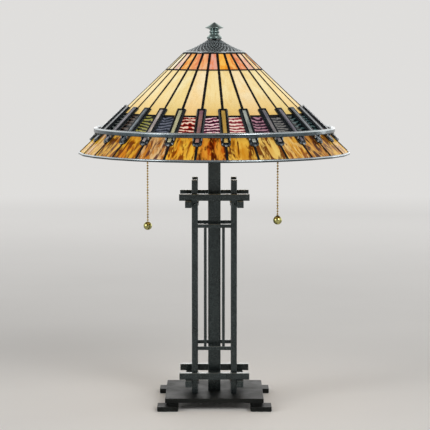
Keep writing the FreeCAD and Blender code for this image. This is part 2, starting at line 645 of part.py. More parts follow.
def build_sockets():
    """Both pull-chain sockets with their arms and spouts: one of each per side, in shared nodes."""
    fixed = {}
    top = "socket_z + socket_high"
    bore = "socket_radius - socket_wall"
    seam = "socket_z + socket_cap_high"
    for side, angle, radius in sockets():
        def add(name, thing, at_radius=radius):
            fixed.setdefault(name, []).append(swing(thing, angle, at_radius))

        arm_start = size("pipe_radius") + size("hub_core")
        arm_end = radius - size("socket_radius") + size("socket_wall")
        arm = [Part.makeCylinder(size("arm_radius") - wall, arm_end - arm_start,
                                 FreeCAD.Vector(arm_start, 0, size("arm_z")), FreeCAD.Vector(1, 0, 0))
               for wall in (0, size("arm_wall"))]
        add("socket_arms", solid("arm_" + side, arm[0].cut(arm[1])), 0)

        cap = revolved("socket_cap_" + side, (
            ("0", "socket_z"), ("socket_radius - socket_corner", "socket_z", "socket_corner"),
            ("socket_radius", "socket_z + socket_corner"), ("socket_radius", seam), (bore, seam),
            (bore, "socket_z + socket_corner", "socket_wall - socket_corner"),
            ("socket_radius - socket_corner", "socket_z + socket_wall"), ("0", "socket_z + socket_wall")))
        entry_at = ("0 - socket_radius - 3", "0", "arm_z")
        entry = cylinder("cap_entry_" + side, "arm_radius", "8", entry_at, "+x")
        add("socket_caps", cut("drilled_cap_" + side, cap, [entry]))

        shell = revolved("socket_shell_" + side, (
            (f"{bore} - 0.4", seam), ("socket_radius - 0.4", seam), ("socket_radius", top), (bore, top)))
        exit_at = ("socket_radius - 4", "0", "spout_z")
        exit_hole = cylinder("shell_exit_" + side, "spout_radius", "8", exit_at, "+x")
        add("socket_shells", cut("drilled_shell_" + side, shell, [exit_hole]))

        liner_out, liner_foot = f"{bore} - liner_gap", "spout_z + liner_lift"
        liner_in = liner_out + " - liner_thick"
        add("socket_liners", revolved("socket_liner_" + side, (
            (liner_in, liner_foot), (liner_out, liner_foot), (liner_out, top), (liner_in, top))))
        shell_out = "screw_shell_bore + screw_shell_wall"
        shell_floor = "spout_z + screw_shell_lift"
        shell_top = f"{top} - 2"
        add("screw_shells", revolved("screw_shell_" + side, (
            ("0", shell_floor), (shell_out, shell_floor), (shell_out, shell_top),
            ("screw_shell_bore", shell_top), ("screw_shell_bore", shell_floor + " + screw_shell_wall"),
            ("0", shell_floor + " + screw_shell_wall"))))
        switch_at = ("0", "0", "socket_z + switch_z")
        switch = cylinder("switch_block_" + side, "switch_radius", "switch_high", switch_at)
        add("switch_bodies", group("switch_" + side, [switch]))
        outside = spout_form(size("spout_radius"), size("spout_bell"))
        inside = spout_form(size("spout_bore"), size("spout_bell") - 0.8)
        add("chain_spouts", solid("spout_" + side, outside.cut(inside)))

        contact = "spout_z + bulb_lift"
        base = revolved("bulb_base_body_" + side, (
            ("0", contact), ("bulb_tip", contact), ("bulb_tip", contact + " + 1.5"),
            ("bulb_base_radius", contact + " + 4"),
            ("bulb_base_radius", top), ("0", top)))
        node("bulb_base_" + side, swing(base, angle, radius))
        bulb = revolved("bulb_glass_body_" + side, (
            ("0", top), ("bulb_neck", top), ("bulb_neck", f"{top} + 2", "-40"),
            ("bulb_radius * sqrt(3) / 2", "bulb_top - bulb_radius * 1.5", "bulb_radius"), ("0", "bulb_top")))
        node("bulb_glass_" + side, swing(bulb, angle, radius))
    for name, things in fixed.items():
        node(name, group(name, things))


def build_chains():
    for side, flat in (("left", "2 * link_radius"), ("right", "knob_cone_radius")):
        flat_z = f"knob_{side}_z + sqrt(knob_radius * knob_radius - ({flat}) * ({flat}))"
        at = (f"chain_{side}_x", f"chain_{side}_y", "0")
        ball = revolved("knob_" + side, (
            ("0", f"knob_{side}_z - knob_radius", "knob_radius"),
            ("knob_radius", f"knob_{side}_z", "knob_radius"), (flat, flat_z), ("0", flat_z)))
        node("chain_knob_" + side, place(ball, at))
        low_end = value(flat_z)
        if side == "right":
            cone_top = f"{flat_z} + knob_cone_high"
            cone = revolved("knob_cone", (
                ("0", flat_z), (flat, flat_z), ("1.2", cone_top), ("0", cone_top)))
            node("knob_cone_right", place(cone, at))
            low_end += size("knob_cone_high")
        node("pull_chain_" + side, place(solid("chain_" + side, bead_chain(low_end)), at))


# ---------------------------------------------------------------------------- shade
FACETS = int(size("shade_facets"))
STEP = 360 / FACETS
HALF = math.radians(STEP / 2)
FALL = size("cone_fall")
SLOPE = math.hypot(1, FALL)


def glass_z(radius):
    """Height of the glass's outer surface on a seam of this radius."""
    return size("cone_z") - FALL * (radius - size("cone_radius"))


def facet_point(radius, side, inset, drop):
    """A point of the facet that faces +X: at a seam radius, inset from the seam on one side."""
    across = side * (radius * math.sin(HALF) - inset)
    return FreeCAD.Vector(radius * math.cos(HALF), across, glass_z(radius) - drop)


def window(inner, outer, inset, drop):
    corners = [facet_point(radius, side, inset, drop)
               for radius, side in ((inner, -1), (outer, -1), (outer, 1), (inner, 1))]
    return Part.makePolygon(corners + corners[:1])


def round_shade(shape, first):
    """The same shape on every facet or seam, starting at an angle from +X."""
    copies = []
    for index in range(FACETS):
        copy = shape.copy()
        copy.rotate(FreeCAD.Vector(), FreeCAD.Vector(0, 0, 1), first + index * STEP)
        copies.append(copy)
    return copies


def hoop_form():
    outer, wide, high = size("hoop_radius"), size("hoop_wide"), size("hoop_high")
    base = FreeCAD.Vector(0, 0, size("hoop_z"))
    ring = Part.makeCylinder(outer, high, base).cut(Part.makeCylinder(outer - wide, high, base))
    return ring.makeChamfer(size("edge_break"), [edge for edge in ring.Edges if edge.Closed])


def bar_forms(hoop):
    """One raised bar, its glass strip and its solder tip, on the seam that faces +X."""
    start, end = size("strip_bar_start"), size("strip_bar_end")
    long, half, high = (end - start) * SLOPE, size("strip_bar_wide") / 2, size("strip_bar_high")
    nose = half * 0.7
    shoulder = long - nose

    def at(x, y):
        return FreeCAD.Vector(x, y, 0)

    bend = nose * (1 - math.sqrt(0.5))
    sides = [Part.makeLine(at(0, -half), at(shoulder, -half)),
             Part.Arc(at(shoulder, -half), at(long - bend, bend - half), at(long, nose - half)).toShape(),
             Part.makeLine(at(long, nose - half), at(long, half - nose)),
             Part.Arc(at(long, half - nose), at(long - bend, half - bend), at(shoulder, half)).toShape(),
             Part.makeLine(at(shoulder, half), at(0, half)), Part.makeLine(at(0, half), at(0, -half))]
    bar = Part.Face(Part.Wire(sides)).extrude(FreeCAD.Vector(0, 0, high))
    top_edges = [edge for edge in bar.Edges
                 if min(vertex.Z for vertex in edge.Vertexes) > high - 0.01 and edge.CenterOfMass.x > 1]
    bar = bar.makeChamfer(size("strip_bar_bevel"), top_edges)
    margin, wide, deep = size("strip_margin"), size("strip_wide"), size("strip_deep")
    strip = Part.makeBox(shoulder - margin, wide, deep, FreeCAD.Vector(margin, -wide / 2, high - deep))
    tip = Part.makeSphere(size("tip_radius"), FreeCAD.Vector(long, 0, high / 2))
    bar = bar.cut([strip, tip])

    lift = size("lead_proud") / SLOPE
    pitch = FreeCAD.Rotation(FreeCAD.Vector(0, 1, 0), math.degrees(math.atan(FALL)))
    foot = FreeCAD.Vector(start, 0, glass_z(start)) + pitch.multVec(FreeCAD.Vector(0, 0, lift))
    for shape in (bar, strip, tip):
        shape.Placement = FreeCAD.Placement(foot, pitch)
    return bar.cut(hoop), strip.cut(hoop), tip


def clip_forms(bar):
    """The two solder clips that hold the hoop beside one raised bar."""
    deep, wide, long = size("clip_deep"), size("clip_wide"), size("clip_long")
    clips = []
    for side in (-1, 1):
        corner = FreeCAD.Vector(size("hoop_radius") - size("hoop_wide") / 2 - deep / 2,
                                side * (size("clip_offset") + wide / 2) - wide / 2, size("hoop_z") - long)
        clip = Part.makeBox(deep, wide, long, corner).cut(bar)
        clips.append(max(clip.Solids, key=lambda piece: piece.Volume))
    return Part.makeCompound(clips)


def rim_stick():
    """The stretch of rim bead along the facet that faces +X, mitred at both seams."""
    bead, reach = size("rim_bead"), 2 * size("rim_radius")
    ends = [facet_point(size("rim_radius"), side, 0, size("glass_thick") / 2) for side in (-1, 1)]
    along = (ends[1] - ends[0]).normalize()
    stock = Part.makeCylinder(bead, (ends[1] - ends[0]).Length + 2 * bead, ends[0] - along * bead, along)
    corners = [FreeCAD.Vector(reach, side * reach * math.tan(HALF), 0) for side in (-1, 1)]
    wedge = Part.Face(Part.makePolygon([FreeCAD.Vector(), *corners, FreeCAD.Vector()]))
    return stock.common(wedge.extrude(FreeCAD.Vector(0, 0, size("lamp_top"))))


def build_shade():
    thick, proud, half = size("glass_thick"), size("lead_proud"), size("lead_half")
    first_seam = size("first_seam") - 90
    first_facet = first_seam + STEP / 2
    across = half / SLOPE
    glass_end = size("rim_radius") - size("rim_bead") / 2
    stick = rim_stick()
    bands = (("glass_top_band", size("shade_top_radius"), size("cone_radius")),
             ("glass_cream_band", size("cone_radius"), size("ripple_radius")),
             ("glass_ripple_band", size("ripple_radius"), size("amber_radius")),
             ("glass_amber_band", size("amber_radius"), glass_end))
    up = FreeCAD.Vector(0, 0, 1)
    holes = []
    for name, inner, outer in bands:
        last = outer == glass_end
        inner, outer = inner + across, outer if last else outer - across
        panel = Part.Face(window(inner, outer, half, thick)).extrude(up * thick)
        if last:
            panel = panel.cut(stick)
        node(name, solid(name, Part.makeCompound(round_shade(panel, first_facet))))
        if not last:
            holes.append(window(inner, outer, half, thick + proud))
    low = thick + proud
    amber = size("amber_radius") + across
    rim = [facet_point(size("shade_top_radius"), -1, 0, low), facet_point(glass_end, -1, 0, low),
           facet_point(glass_end, -1, half, low), facet_point(amber, -1, half, low),
           facet_point(amber, 1, half, low), facet_point(glass_end, 1, half, low),
           facet_point(glass_end, 1, 0, low), facet_point(size("shade_top_radius"), 1, 0, low)]
    sector = Part.makeFace([Part.makePolygon(rim + rim[:1])] + holes, "Part::FaceMakerBullseye")
    sector = sector.extrude(up * (thick + 2 * proud)).cut(stick)
    sectors = round_shade(sector, first_facet)
    node("shade_leading", solid("shade_leading", sectors[0].multiFuse(sectors[1:]).removeSplitter()))

    sticks = round_shade(stick, first_facet)
    node("rim_bead", solid("rim_bead", sticks[0].multiFuse(sticks[1:])))

    hoop = hoop_form()
    bar, strip, tip = bar_forms(hoop)
    for name, shape in (("shade_bars", bar), ("bar_glass_strips", strip), ("bar_tips", tip),
                        ("hoop_clips", clip_forms(bar))):
        node(name, solid(name, Part.makeCompound(round_shade(shape, first_seam))))
    node("shade_hoop", solid("shade_hoop", hoop))

    node("shade_top_ring", tube("shade_top_ring", "top_ring_radius", "top_ring_radius - top_ring_wide",
                                "top_ring_high", ("0", "0", "top_ring_z")))
    rim_out, hub_out = "top_ring_radius - wheel_inset", "pipe_radius + wheel_hub"
    rim = tube("wheel_rim", rim_out, rim_out + " - wheel_rim", "wheel_thick", ("0", "0", "wheel_z"))
    hub = tube("wheel_hub", hub_out, "pipe_radius", "wheel_thick", ("0", "0", "wheel_z"))
    spoke_long = f"{rim_out} - 2 - ({hub_out} - 2)"
    spoke_at = f"({hub_out} - 2) + ({spoke_long}) / 2"
    spokes = []
    for side, x, y in SIDES:
        plan = ("wheel_spoke", spoke_long) if y else (spoke_long, "wheel_spoke")
        spoke_centre = (signed(x, spoke_at), signed(y, spoke_at), "wheel_z")
        spokes.append(box("wheel_spoke_" + side, (*plan, "wheel_thick"), spoke_centre))
    node("shade_wheel", fused("shade_wheel", [rim, hub, *spokes]))

    node("cap", revolved("cap_body", (
        ("cap_radius - 2.4", "cap_z"), ("cap_radius", "cap_z"), ("cap_radius", "cap_z + 1", "0 - cap_curve"),
        ("cap_neck", "cap_top - 1.2"), ("cap_neck - 0.8", "cap_top"), ("stud_radius + 0.3", "cap_top"),
        ("stud_radius + 0.3", "cap_top - cap_thick"),
        ("cap_neck - 1.4", "cap_top - cap_thick - 0.6", "cap_curve"))))
    bore, floor = "stud_radius + 0.05", "cap_top + finial_gap"
    node("finial", revolved("finial_body", (
        (bore, floor), ("finial_collar - 0.9", floor), ("finial_collar", f"{floor} + 0.9"),
        ("finial_collar", f"{floor} + 3"), ("finial_neck + 2.1", f"{floor} + 5.8"),
        ("finial_neck", f"{floor} + 8"), ("finial_neck", "finial_ring_z - 2"),
        ("finial_ring", "finial_ring_z - 0.6"), ("finial_ring", "finial_ring_z + 0.6"),
        ("finial_neck", "finial_ring_z + 2"), ("finial_neck", "finial_disc_z - 4"),
        ("finial_disc - 1.2", "finial_disc_z - 0.9"), ("finial_disc", "finial_disc_z"),
        ("finial_disc - 0.4", "finial_disc_z + 0.7"), ("finial_tip", "lamp_top - 0.4"),
        ("0", "lamp_top"), ("0", "finial_disc_z + 0.5"),
        (bore, "finial_disc_z + 0.5"))))


build_base()
build_column()
build_lattice()
build_stem()
build_sockets()
build_chains()
build_shade()
doc.recompute()

for thing in doc.Objects:
    if "Invalid" in thing.State or "Error" in thing.State:
        raise RuntimeError(f"{thing.Label} did not recompute: {thing.State}")
for thing in NODES:
    if thing.Shape.isNull() or not thing.Shape.isValid() or not thing.Shape.Solids:
        raise RuntimeError(thing.Label + " has no valid solid")
    thing.Shape.exportStep(f"parts/{thing.Label}.step")
print(len(NODES), "sub-parts written")
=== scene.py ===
import math
import random

import bmesh
import bpy
from mathutils import Matrix, Vector, noise


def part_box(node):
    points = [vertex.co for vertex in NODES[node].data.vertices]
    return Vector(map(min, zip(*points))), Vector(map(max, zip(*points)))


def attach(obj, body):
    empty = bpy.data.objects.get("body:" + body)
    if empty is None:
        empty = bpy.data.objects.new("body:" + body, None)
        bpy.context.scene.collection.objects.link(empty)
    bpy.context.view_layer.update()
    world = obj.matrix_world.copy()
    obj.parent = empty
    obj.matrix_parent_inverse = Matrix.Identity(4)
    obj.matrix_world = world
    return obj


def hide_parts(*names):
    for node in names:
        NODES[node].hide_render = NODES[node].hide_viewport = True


# The looks of a stained glass table lamp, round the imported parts.
# Metres, +Z up, the front is -Y. A bearing is an angle from the front, positive towards +X.
# On the shade, "across" runs round it and "along" runs down its slope.

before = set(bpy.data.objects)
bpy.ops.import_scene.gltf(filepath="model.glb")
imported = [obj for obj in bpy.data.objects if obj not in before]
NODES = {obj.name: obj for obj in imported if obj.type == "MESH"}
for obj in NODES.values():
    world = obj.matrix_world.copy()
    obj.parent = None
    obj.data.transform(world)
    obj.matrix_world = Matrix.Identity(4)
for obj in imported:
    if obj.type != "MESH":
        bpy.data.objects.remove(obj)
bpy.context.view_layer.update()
MM = 0.001
TOUCH = 0.02 * MM
TONES = ("tone_dark", "tone_mid", "tone_light")
# A Mix node has a set of sockets for each kind of value. These are the ones for colours.
MIX_FACTOR, MIX_FIRST, MIX_SECOND, MIX_RESULT = 0, 6, 7, 2
chance = random.Random(28)


def tint(red, green, blue):
    """A colour given as 0-255 screen values, as the linear values that shaders take."""
    def channel(value):
        value /= 255
        return value / 12.92 if value <= 0.04045 else ((value + 0.055) / 1.055) ** 2.4
    return (channel(red), channel(green), channel(blue), 1.0)


def grey(value):
    return (value, value, value, 1.0)


# ---------------------------------------------------------------- materials
class Graph:
    """A node tree, with short ways to add to it."""

    def __init__(self, tree):
        self.tree = tree

    def feed(self, node, socket, value):
        """Link an input when the value is another node's output, and set it otherwise."""
        if isinstance(value, bpy.types.NodeSocket):
            self.tree.links.new(value, node.inputs[socket])
        else:
            node.inputs[socket].default_value = value

    def add(self, kind, inputs=None, **settings):
        node = self.tree.nodes.new("ShaderNode" + kind)
        for name, value in settings.items():
            setattr(node, name, value)
        for socket, value in (inputs or {}).items():
            self.feed(node, socket, value)
        return node

    def ramp(self, factor, *stops):
        """A colour ramp. A stop is (place, colour), and a plain number stands for a grey."""
        node = self.add("ValToRGB", {"Fac": factor})
        points = node.color_ramp.elements
        while len(points) < len(stops):
            points.new(1.0)
        for point, (place, colour) in zip(points, stops):
            point.position = place
            point.color = colour if isinstance(colour, tuple) else grey(colour)
        return node.outputs["Color"]

    def math(self, operation, first, second=0.0):
        return self.add("Math", {0: first, 1: second}, operation=operation).outputs[0]

    def vector(self, operation, first, second, output="Vector"):
        return self.add("VectorMath", {0: first, 1: second}, operation=operation).outputs[output]

    def part(self, vector, axis):
        return self.add("SeparateXYZ", {0: vector}).outputs[axis]


class Recipe(Graph):
    """A material built round one Principled shader."""

    def __init__(self, name, **sockets):
        self.material = bpy.data.materials.new(name)
        self.material.use_nodes = True
        super().__init__(self.material.node_tree)
        self.shader = self.tree.nodes["Principled BSDF"]
        self.set(**sockets)

    def set(self, **sockets):
        for name, value in sockets.items():
            self.feed(self.shader, name.replace("_", " "), value)

    def spot(self):
        """Where a point is in the piece's own frame, in metres."""
        return self.add("TexCoord").outputs["Object"]

    def read(self, name, output="Color"):
        return self.add("Attribute", attribute_name=name).outputs[output]

    def tones(self):
        """The dark, middle and light colours kept on a sheet of glass."""
        return [self.read(name) for name in TONES]

    def stretch(self, vector, scale):
        return self.add("Mapping", {"Vector": vector, "Scale": scale}).outputs["Vector"]

    def noise(self, vector, scale, detail=3.0, distortion=0.0):
        inputs = {"Vector": vector, "Scale": scale, "Detail": detail, "Distortion": distortion}
        return self.add("TexNoise", inputs).outputs["Fac"]

    def cells(self, vector, scale):
        return self.add("TexVoronoi", {"Vector": vector, "Scale": scale}).outputs["Distance"]

    def mix(self, factor, first, second, blend="MIX"):
        inputs = {MIX_FACTOR: factor, MIX_FIRST: first, MIX_SECOND: second}
        return self.add("Mix", inputs, data_type="RGBA", blend_type=blend).outputs[MIX_RESULT]

    def relief(self, height, distance, strength=1.0, below=None):
        """Bump that adds to any bump below it."""
        inputs = {"Height": height, "Distance": distance, "Strength": strength}
        if below is not None:
            inputs["Normal"] = below
        return self.add("Bump", inputs).outputs["Normal"]

    def corners(self, radius):
        """Near 1 along a piece's edges and 0 on its faces: where a finish rubs thin and where a painted edge
        highlight goes.
        """
        rounded = self.add("Bevel", {"Radius": radius}, samples=4).outputs["Normal"]
        flat = self.add("NewGeometry").outputs["Normal"]
        turn = self.vector("DOT_PRODUCT", rounded, flat, "Value")
        return self.ramp(turn, (0.90, 1.0), (0.995, 0.0))


def metal(name, deep, pale, rub_and_glint, roughness, metallic, edge_wear_and_glint, coat=0.0, painted_top_highlight=None):
    """A patinated metal: cloudy from deep to pale, with pale edges and a fine grain.

    The edge share is how much of the pale colour shows on edges: partly rubbed wear, partly a painted edge
    highlight. A colour for faces that look up, when given, is a painted highlight standing in for light from
    above.
    """
    recipe = Recipe(name, Metallic=metallic, Coat_Weight=coat, Coat_Roughness=0.12)
    spot = recipe.spot()
    clouds = recipe.noise(spot, 38.0, 5.0, 0.6)
    specks = recipe.noise(spot, 900.0, 2.0)
    colour = recipe.ramp(clouds, (0.32, deep), (0.72, pale))
    colour = recipe.mix(recipe.ramp(specks, (0.45, 0.0), (0.85, 0.35)), colour, rub_and_glint)
    # Painted highlight: faces that look up are mixed towards a pale colour, standing in for light from above.
    if painted_top_highlight:
        upward = recipe.part(recipe.add("NewGeometry").outputs["Normal"], "Z")
        colour = recipe.mix(recipe.ramp(upward, (0.1, 0.0), (0.42, 0.95)), colour, painted_top_highlight)
    # Pale edges: partly rubbed wear, partly a painted edge highlight.
    wear_and_glint = recipe.ramp(clouds, (0.25, edge_wear_and_glint * 0.45), (0.7, edge_wear_and_glint))
    edge = recipe.math("MULTIPLY", recipe.corners(0.9 * MM), wear_and_glint)
    recipe.set(Base_Color=recipe.mix(edge, colour, rub_and_glint))
    recipe.set(Roughness=recipe.ramp(clouds, (0.25, roughness * 0.82), (0.8, roughness * 1.25)))
    fine = recipe.relief(specks, 0.05 * MM, 0.35)
    recipe.set(Normal=recipe.relief(clouds, 0.35 * MM, 0.3, fine))
    return recipe.material


def embossed(name, deep, pale, rub_and_glint, roughness):
    """Patinated metal whose raised pattern is pale: partly rubbed wear, partly a painted highlight."""
    recipe = Recipe(name, Metallic=0.8, Coat_Weight=0.2, Coat_Roughness=0.15)
    spot = recipe.spot()
    clouds = recipe.noise(spot, 60.0, 4.0, 0.6)
    grain = recipe.noise(spot, 900.0, 2.0)
    # The raised pattern's pale colour is partly wear and partly a painted highlight.
    raised = recipe.math("MULTIPLY", recipe.read("wear_and_glint", "Fac"), recipe.ramp(grain, (0.3, 0.7), (0.7, 1.0)))
    colour = recipe.ramp(clouds, (0.32, deep), (0.72, pale))
    recipe.set(Base_Color=recipe.mix(recipe.ramp(raised, (0.2, 0.0), (0.75, 1.0)), colour, rub_and_glint))
    recipe.set(Roughness=recipe.ramp(clouds, (0.25, roughness * 0.8), (0.8, roughness * 1.3)))
    recipe.set(Normal=recipe.relief(grain, 0.05 * MM, 0.4))
    return recipe.material


def solder(name, deep, pale, roughness, metallic):
    """Hand-run solder under a dark patina: lumps, pits and a few bright spots."""
    recipe = Recipe(name, Metallic=metallic, Specular_IOR_Level=0.3)
    spot = recipe.spot()
    lumps = recipe.noise(spot, 160.0, 3.0, 0.4)
    pits = recipe.cells(spot, 700.0)
    recipe.set(Base_Color=recipe.ramp(lumps, (0.3, deep), (0.62, pale), (0.8, deep)))
    recipe.set(Roughness=recipe.ramp(lumps, (0.3, roughness), (0.75, roughness * 1.6)))
    recipe.set(Normal=recipe.relief(pits, 0.1 * MM, 0.25, recipe.relief(lumps, 0.5 * MM, 0.6)))
    return recipe.material


def brass(name, bright, dull, roughness):
    """Polished brass under an uneven tarnish, with fine scratches."""
    recipe = Recipe(name, Metallic=1.0)
    spot = recipe.spot()
    tarnish = recipe.noise(spot, 190.0, 4.0, 0.5)
    scratches = recipe.noise(recipe.stretch(spot, (1.0, 1.0, 0.06)), 2600.0, 2.0)
    recipe.set(Base_Color=recipe.ramp(tarnish, (0.35, bright), (0.7, dull)))
    recipe.set(Roughness=recipe.ramp(tarnish, (0.3, roughness), (0.8, roughness * 1.9)))
    recipe.set(Normal=recipe.relief(scratches, 0.02 * MM, 0.5))
    return recipe.material


def felt():
    """Green wool felt: long fibres and a soft sheen."""
    recipe = Recipe("felt", Roughness=0.95, Sheen_Weight=0.4, Sheen_Roughness=0.6)
    fibres = recipe.noise(recipe.stretch(recipe.spot(), (1.0, 0.45, 1.0)), 1900.0, 6.0, 1.2)
    recipe.set(Base_Color=recipe.ramp(fibres, (0.3, tint(24, 34, 28)), (0.75, tint(58, 74, 62))))
    recipe.set(Normal=recipe.relief(fibres, 0.3 * MM, 0.8))
    return recipe.material


def moulded(name, deep, pale, roughness):
    """Moulded plastic or phenolic with a faint orange-peel skin."""
    recipe = Recipe(name)
    spot = recipe.spot()
    peel = recipe.noise(spot, 1100.0, 2.0)
    recipe.set(Base_Color=recipe.ramp(recipe.noise(spot, 260.0, 3.0), (0.3, deep), (0.75, pale)))
    recipe.set(Roughness=recipe.ramp(peel, (0.2, roughness * 0.85), (0.8, roughness * 1.2)))
    recipe.set(Normal=recipe.relief(peel, 0.05 * MM, 0.4))
    return recipe.material


def cardboard():
    """The brown paper tube inside a socket's shell."""
    recipe = Recipe("paper_liner", Roughness=0.85)
    spot = recipe.spot()
    fibres = recipe.noise(recipe.stretch(spot, (1.0, 1.0, 0.3)), 1500.0, 5.0, 0.8)
    recipe.set(Base_Color=recipe.ramp(fibres, (0.3, tint(92, 74, 56)), (0.75, tint(138, 114, 88))))
    recipe.set(Normal=recipe.relief(fibres, 0.1 * MM, 0.5))
    return recipe.material


def frosted_bulb():
    """A lit frosted bulb, with soft warm clouds where the coating is thicker."""
    recipe = Recipe("bulb_glass", Roughness=0.35, Emission_Strength=0.75)
    spot = recipe.spot()
    frost = recipe.noise(spot, 1400.0, 2.0)
    warm = recipe.ramp(recipe.noise(spot, 55.0, 3.0), (0.3, tint(255, 240, 206)), (0.7, tint(255, 214, 150)))
    recipe.set(Base_Color=recipe.ramp(frost, (0.3, tint(236, 230, 216)), (0.8, tint(252, 248, 238))))
    recipe.set(Emission_Color=recipe.mix(0.15, warm, recipe.ramp(frost, (0.3, 0.6), (0.8, 1.0))))
    recipe.set(Normal=recipe.relief(frost, 0.05 * MM, 0.3))
    return recipe.material


def glowing(recipe, colour, body, strength):
    """Lit glass: the same pattern reflects a little room light and glows with the bulbs' light."""
    recipe.set(Base_Color=recipe.mix(1.0, colour, grey(body), "MULTIPLY"))
    recipe.set(Emission_Color=colour, Emission_Strength=strength)
    return recipe.material


def cream_glass(foot):
    """Opalescent glass: a stippled skin over soft clouds, deeper in tone towards its foot."""
    recipe = Recipe("glass_cream", Roughness=0.4)
    place = recipe.read("place", "Vector")
    dark, mid, light = recipe.tones()
    clouds = recipe.noise(recipe.stretch(place, (1.0, 0.5, 1.0)), 46.0, 4.0, 0.8)
    wisps = recipe.noise(recipe.stretch(place, (1.0, 0.22, 1.0)), 170.0, 3.0, 1.0)
    stipple = recipe.noise(place, 720.0, 2.0)
    colour = recipe.mix(recipe.ramp(clouds, (0.35, 0.0), (0.68, 1.0)), mid, light)
    colour = recipe.mix(recipe.ramp(wisps, (0.5, 0.0), (0.78, 0.55)), colour, dark)
    down = recipe.math("DIVIDE", recipe.part(place, "Y"), foot)
    down = recipe.math("ADD", down, recipe.math("MULTIPLY", recipe.math("SUBTRACT", clouds, 0.5), 0.25))
    colour = recipe.mix(recipe.ramp(down, (0.78, 0.0), (1.0, 0.9)), colour, dark)
    colour = recipe.mix(0.5, colour, recipe.ramp(stipple, (0.35, 0.74), (0.65, 1.0)), "MULTIPLY")
    recipe.set(Normal=recipe.relief(stipple, 0.15 * MM, 0.5))
    return glowing(recipe, colour, 0.28, 0.76)


def swirled_glass(name, across, along, veins, strength):
    """Streaky art glass: three tones drawn out along the panel.

    across and along are how fast the pattern changes in each direction, per metre.
    """
    recipe = Recipe(name, Roughness=0.3, Specular_IOR_Level=0.15, Coat_Weight=0.06, Coat_Roughness=0.15)
    place = recipe.read("place", "Vector")
    dark, mid, light = recipe.tones()
    broad = recipe.noise(recipe.stretch(place, (across, along, 1.0)), 1.0, 4.0, 1.1)
    streaks = recipe.noise(recipe.stretch(place, (across * 1.7, along * 1.3, 3.0)), 1.0, 3.0, 0.9)
    flecks = recipe.noise(recipe.stretch(place, (across * 2.9, along * 3.4, 5.0)), 1.0, 2.0, 0.6)
    colour = recipe.mix(recipe.ramp(broad, (0.40, 0.0), (0.60, 1.0)), mid, light)
    colour = recipe.mix(recipe.ramp(streaks, (0.46, 0.0), (0.57, veins)), colour, dark)
    colour = recipe.mix(recipe.ramp(flecks, (0.56, 0.0), (0.66, 0.8)), colour, light)
    recipe.set(Normal=recipe.relief(streaks, 0.3 * MM, 0.35))
    return glowing(recipe, colour, 0.22, strength)


def ripple_glass():
    """Rippled art glass: dark in the troughs, pale on the crests, with torn edges between."""
    recipe = Recipe("glass_ripple", Roughness=0.22, Coat_Weight=0.3, Coat_Roughness=0.1)
    place = recipe.read("place", "Vector")
    dark, mid, light = recipe.tones()
    tear = recipe.noise(recipe.stretch(place, (420.0, 160.0, 1.0)), 1.0, 2.0)
    cloud = recipe.noise(recipe.stretch(place, (70.0, 50.0, 1.0)), 1.0, 3.0)
    wave = recipe.math("ADD", recipe.read("wave", "Fac"), recipe.math("SUBTRACT", tear, 0.5))
    wave = recipe.math("ADD", wave, recipe.math("SUBTRACT", cloud, 0.5))
    colour = recipe.mix(recipe.ramp(wave, (0.32, 0.0), (0.48, 1.0)), dark, mid)
    colour = recipe.mix(recipe.ramp(wave, (0.64, 0.0), (0.8, 1.0)), colour, light)
    recipe.set(Normal=recipe.relief(tear, 0.1 * MM, 0.3))
    return glowing(recipe, colour, 0.22, 0.64)


def strip_glass():
    """The narrow strips let into the bars: pearly glass with a faint painted glow of the bulbs' light, and
    painted shade towards the long edges.
    """
    recipe = Recipe("glass_strip", Roughness=0.25, Coat_Weight=0.3, Coat_Roughness=0.15,
                    Emission_Strength=0.06)
    place = recipe.read("place", "Vector")
    dark, mid, light = recipe.tones()
    clouds = recipe.noise(recipe.stretch(place, (60.0, 26.0, 1.0)), 1.0, 4.0, 1.0)
    lines = recipe.noise(recipe.stretch(place, (700.0, 45.0, 1.0)), 1.0, 3.0)
    colour = recipe.mix(recipe.ramp(clouds, (0.38, 0.0), (0.62, 1.0)), mid, light)
    colour = recipe.mix(recipe.ramp(lines, (0.48, 0.0), (0.7, 0.5)), colour, dark)
    # Painted shade: colour and glow darken towards the strip's long edges.
    edge = recipe.math("ABSOLUTE", recipe.part(place, "X"))
    rounded = recipe.ramp(recipe.math("DIVIDE", edge, 3.3 * MM), (0.55, 1.0), (0.95, 0.35))
    colour = recipe.mix(1.0, colour, rounded, "MULTIPLY")
    recipe.set(Base_Color=colour, Emission_Color=colour)
    recipe.set(Normal=recipe.relief(lines, 0.12 * MM, 0.4))
    return recipe.material


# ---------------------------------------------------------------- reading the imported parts
def solids(node):
    """The points of each separate solid in a CAD node."""
    mesh = NODES[node].data
    keys = [tuple(round(axis / TOUCH) for axis in vertex.co) for vertex in mesh.vertices]
    parent = {key: key for key in keys}

    def root(key):
        while parent[key] != key:
            parent[key] = parent[parent[key]]
            key = parent[key]
        return key

    for polygon in mesh.polygons:
        first = root(keys[polygon.vertices[0]])
        for index in polygon.vertices[1:]:
            parent[root(keys[index])] = first
    found = {}
    for key, vertex in zip(keys, mesh.vertices):
        found.setdefault(root(key), []).append(vertex.co.copy())
    return list(found.values())


def middle(points):
    return sum(points, Vector()) / len(points)


def extent(points):
    """Lowest and highest corner of some points."""
    return (Vector(min(point[axis] for point in points) for axis in range(3)),
            Vector(max(point[axis] for point in points) for axis in range(3)))


def bearing(point):
    """Degrees from the front, positive towards +X."""
    return math.degrees(math.atan2(point.x, -point.y))


FACETS = len(solids("glass_cream_band"))
STEP = 360 / FACETS
HALF_TURN = math.pi / FACETS


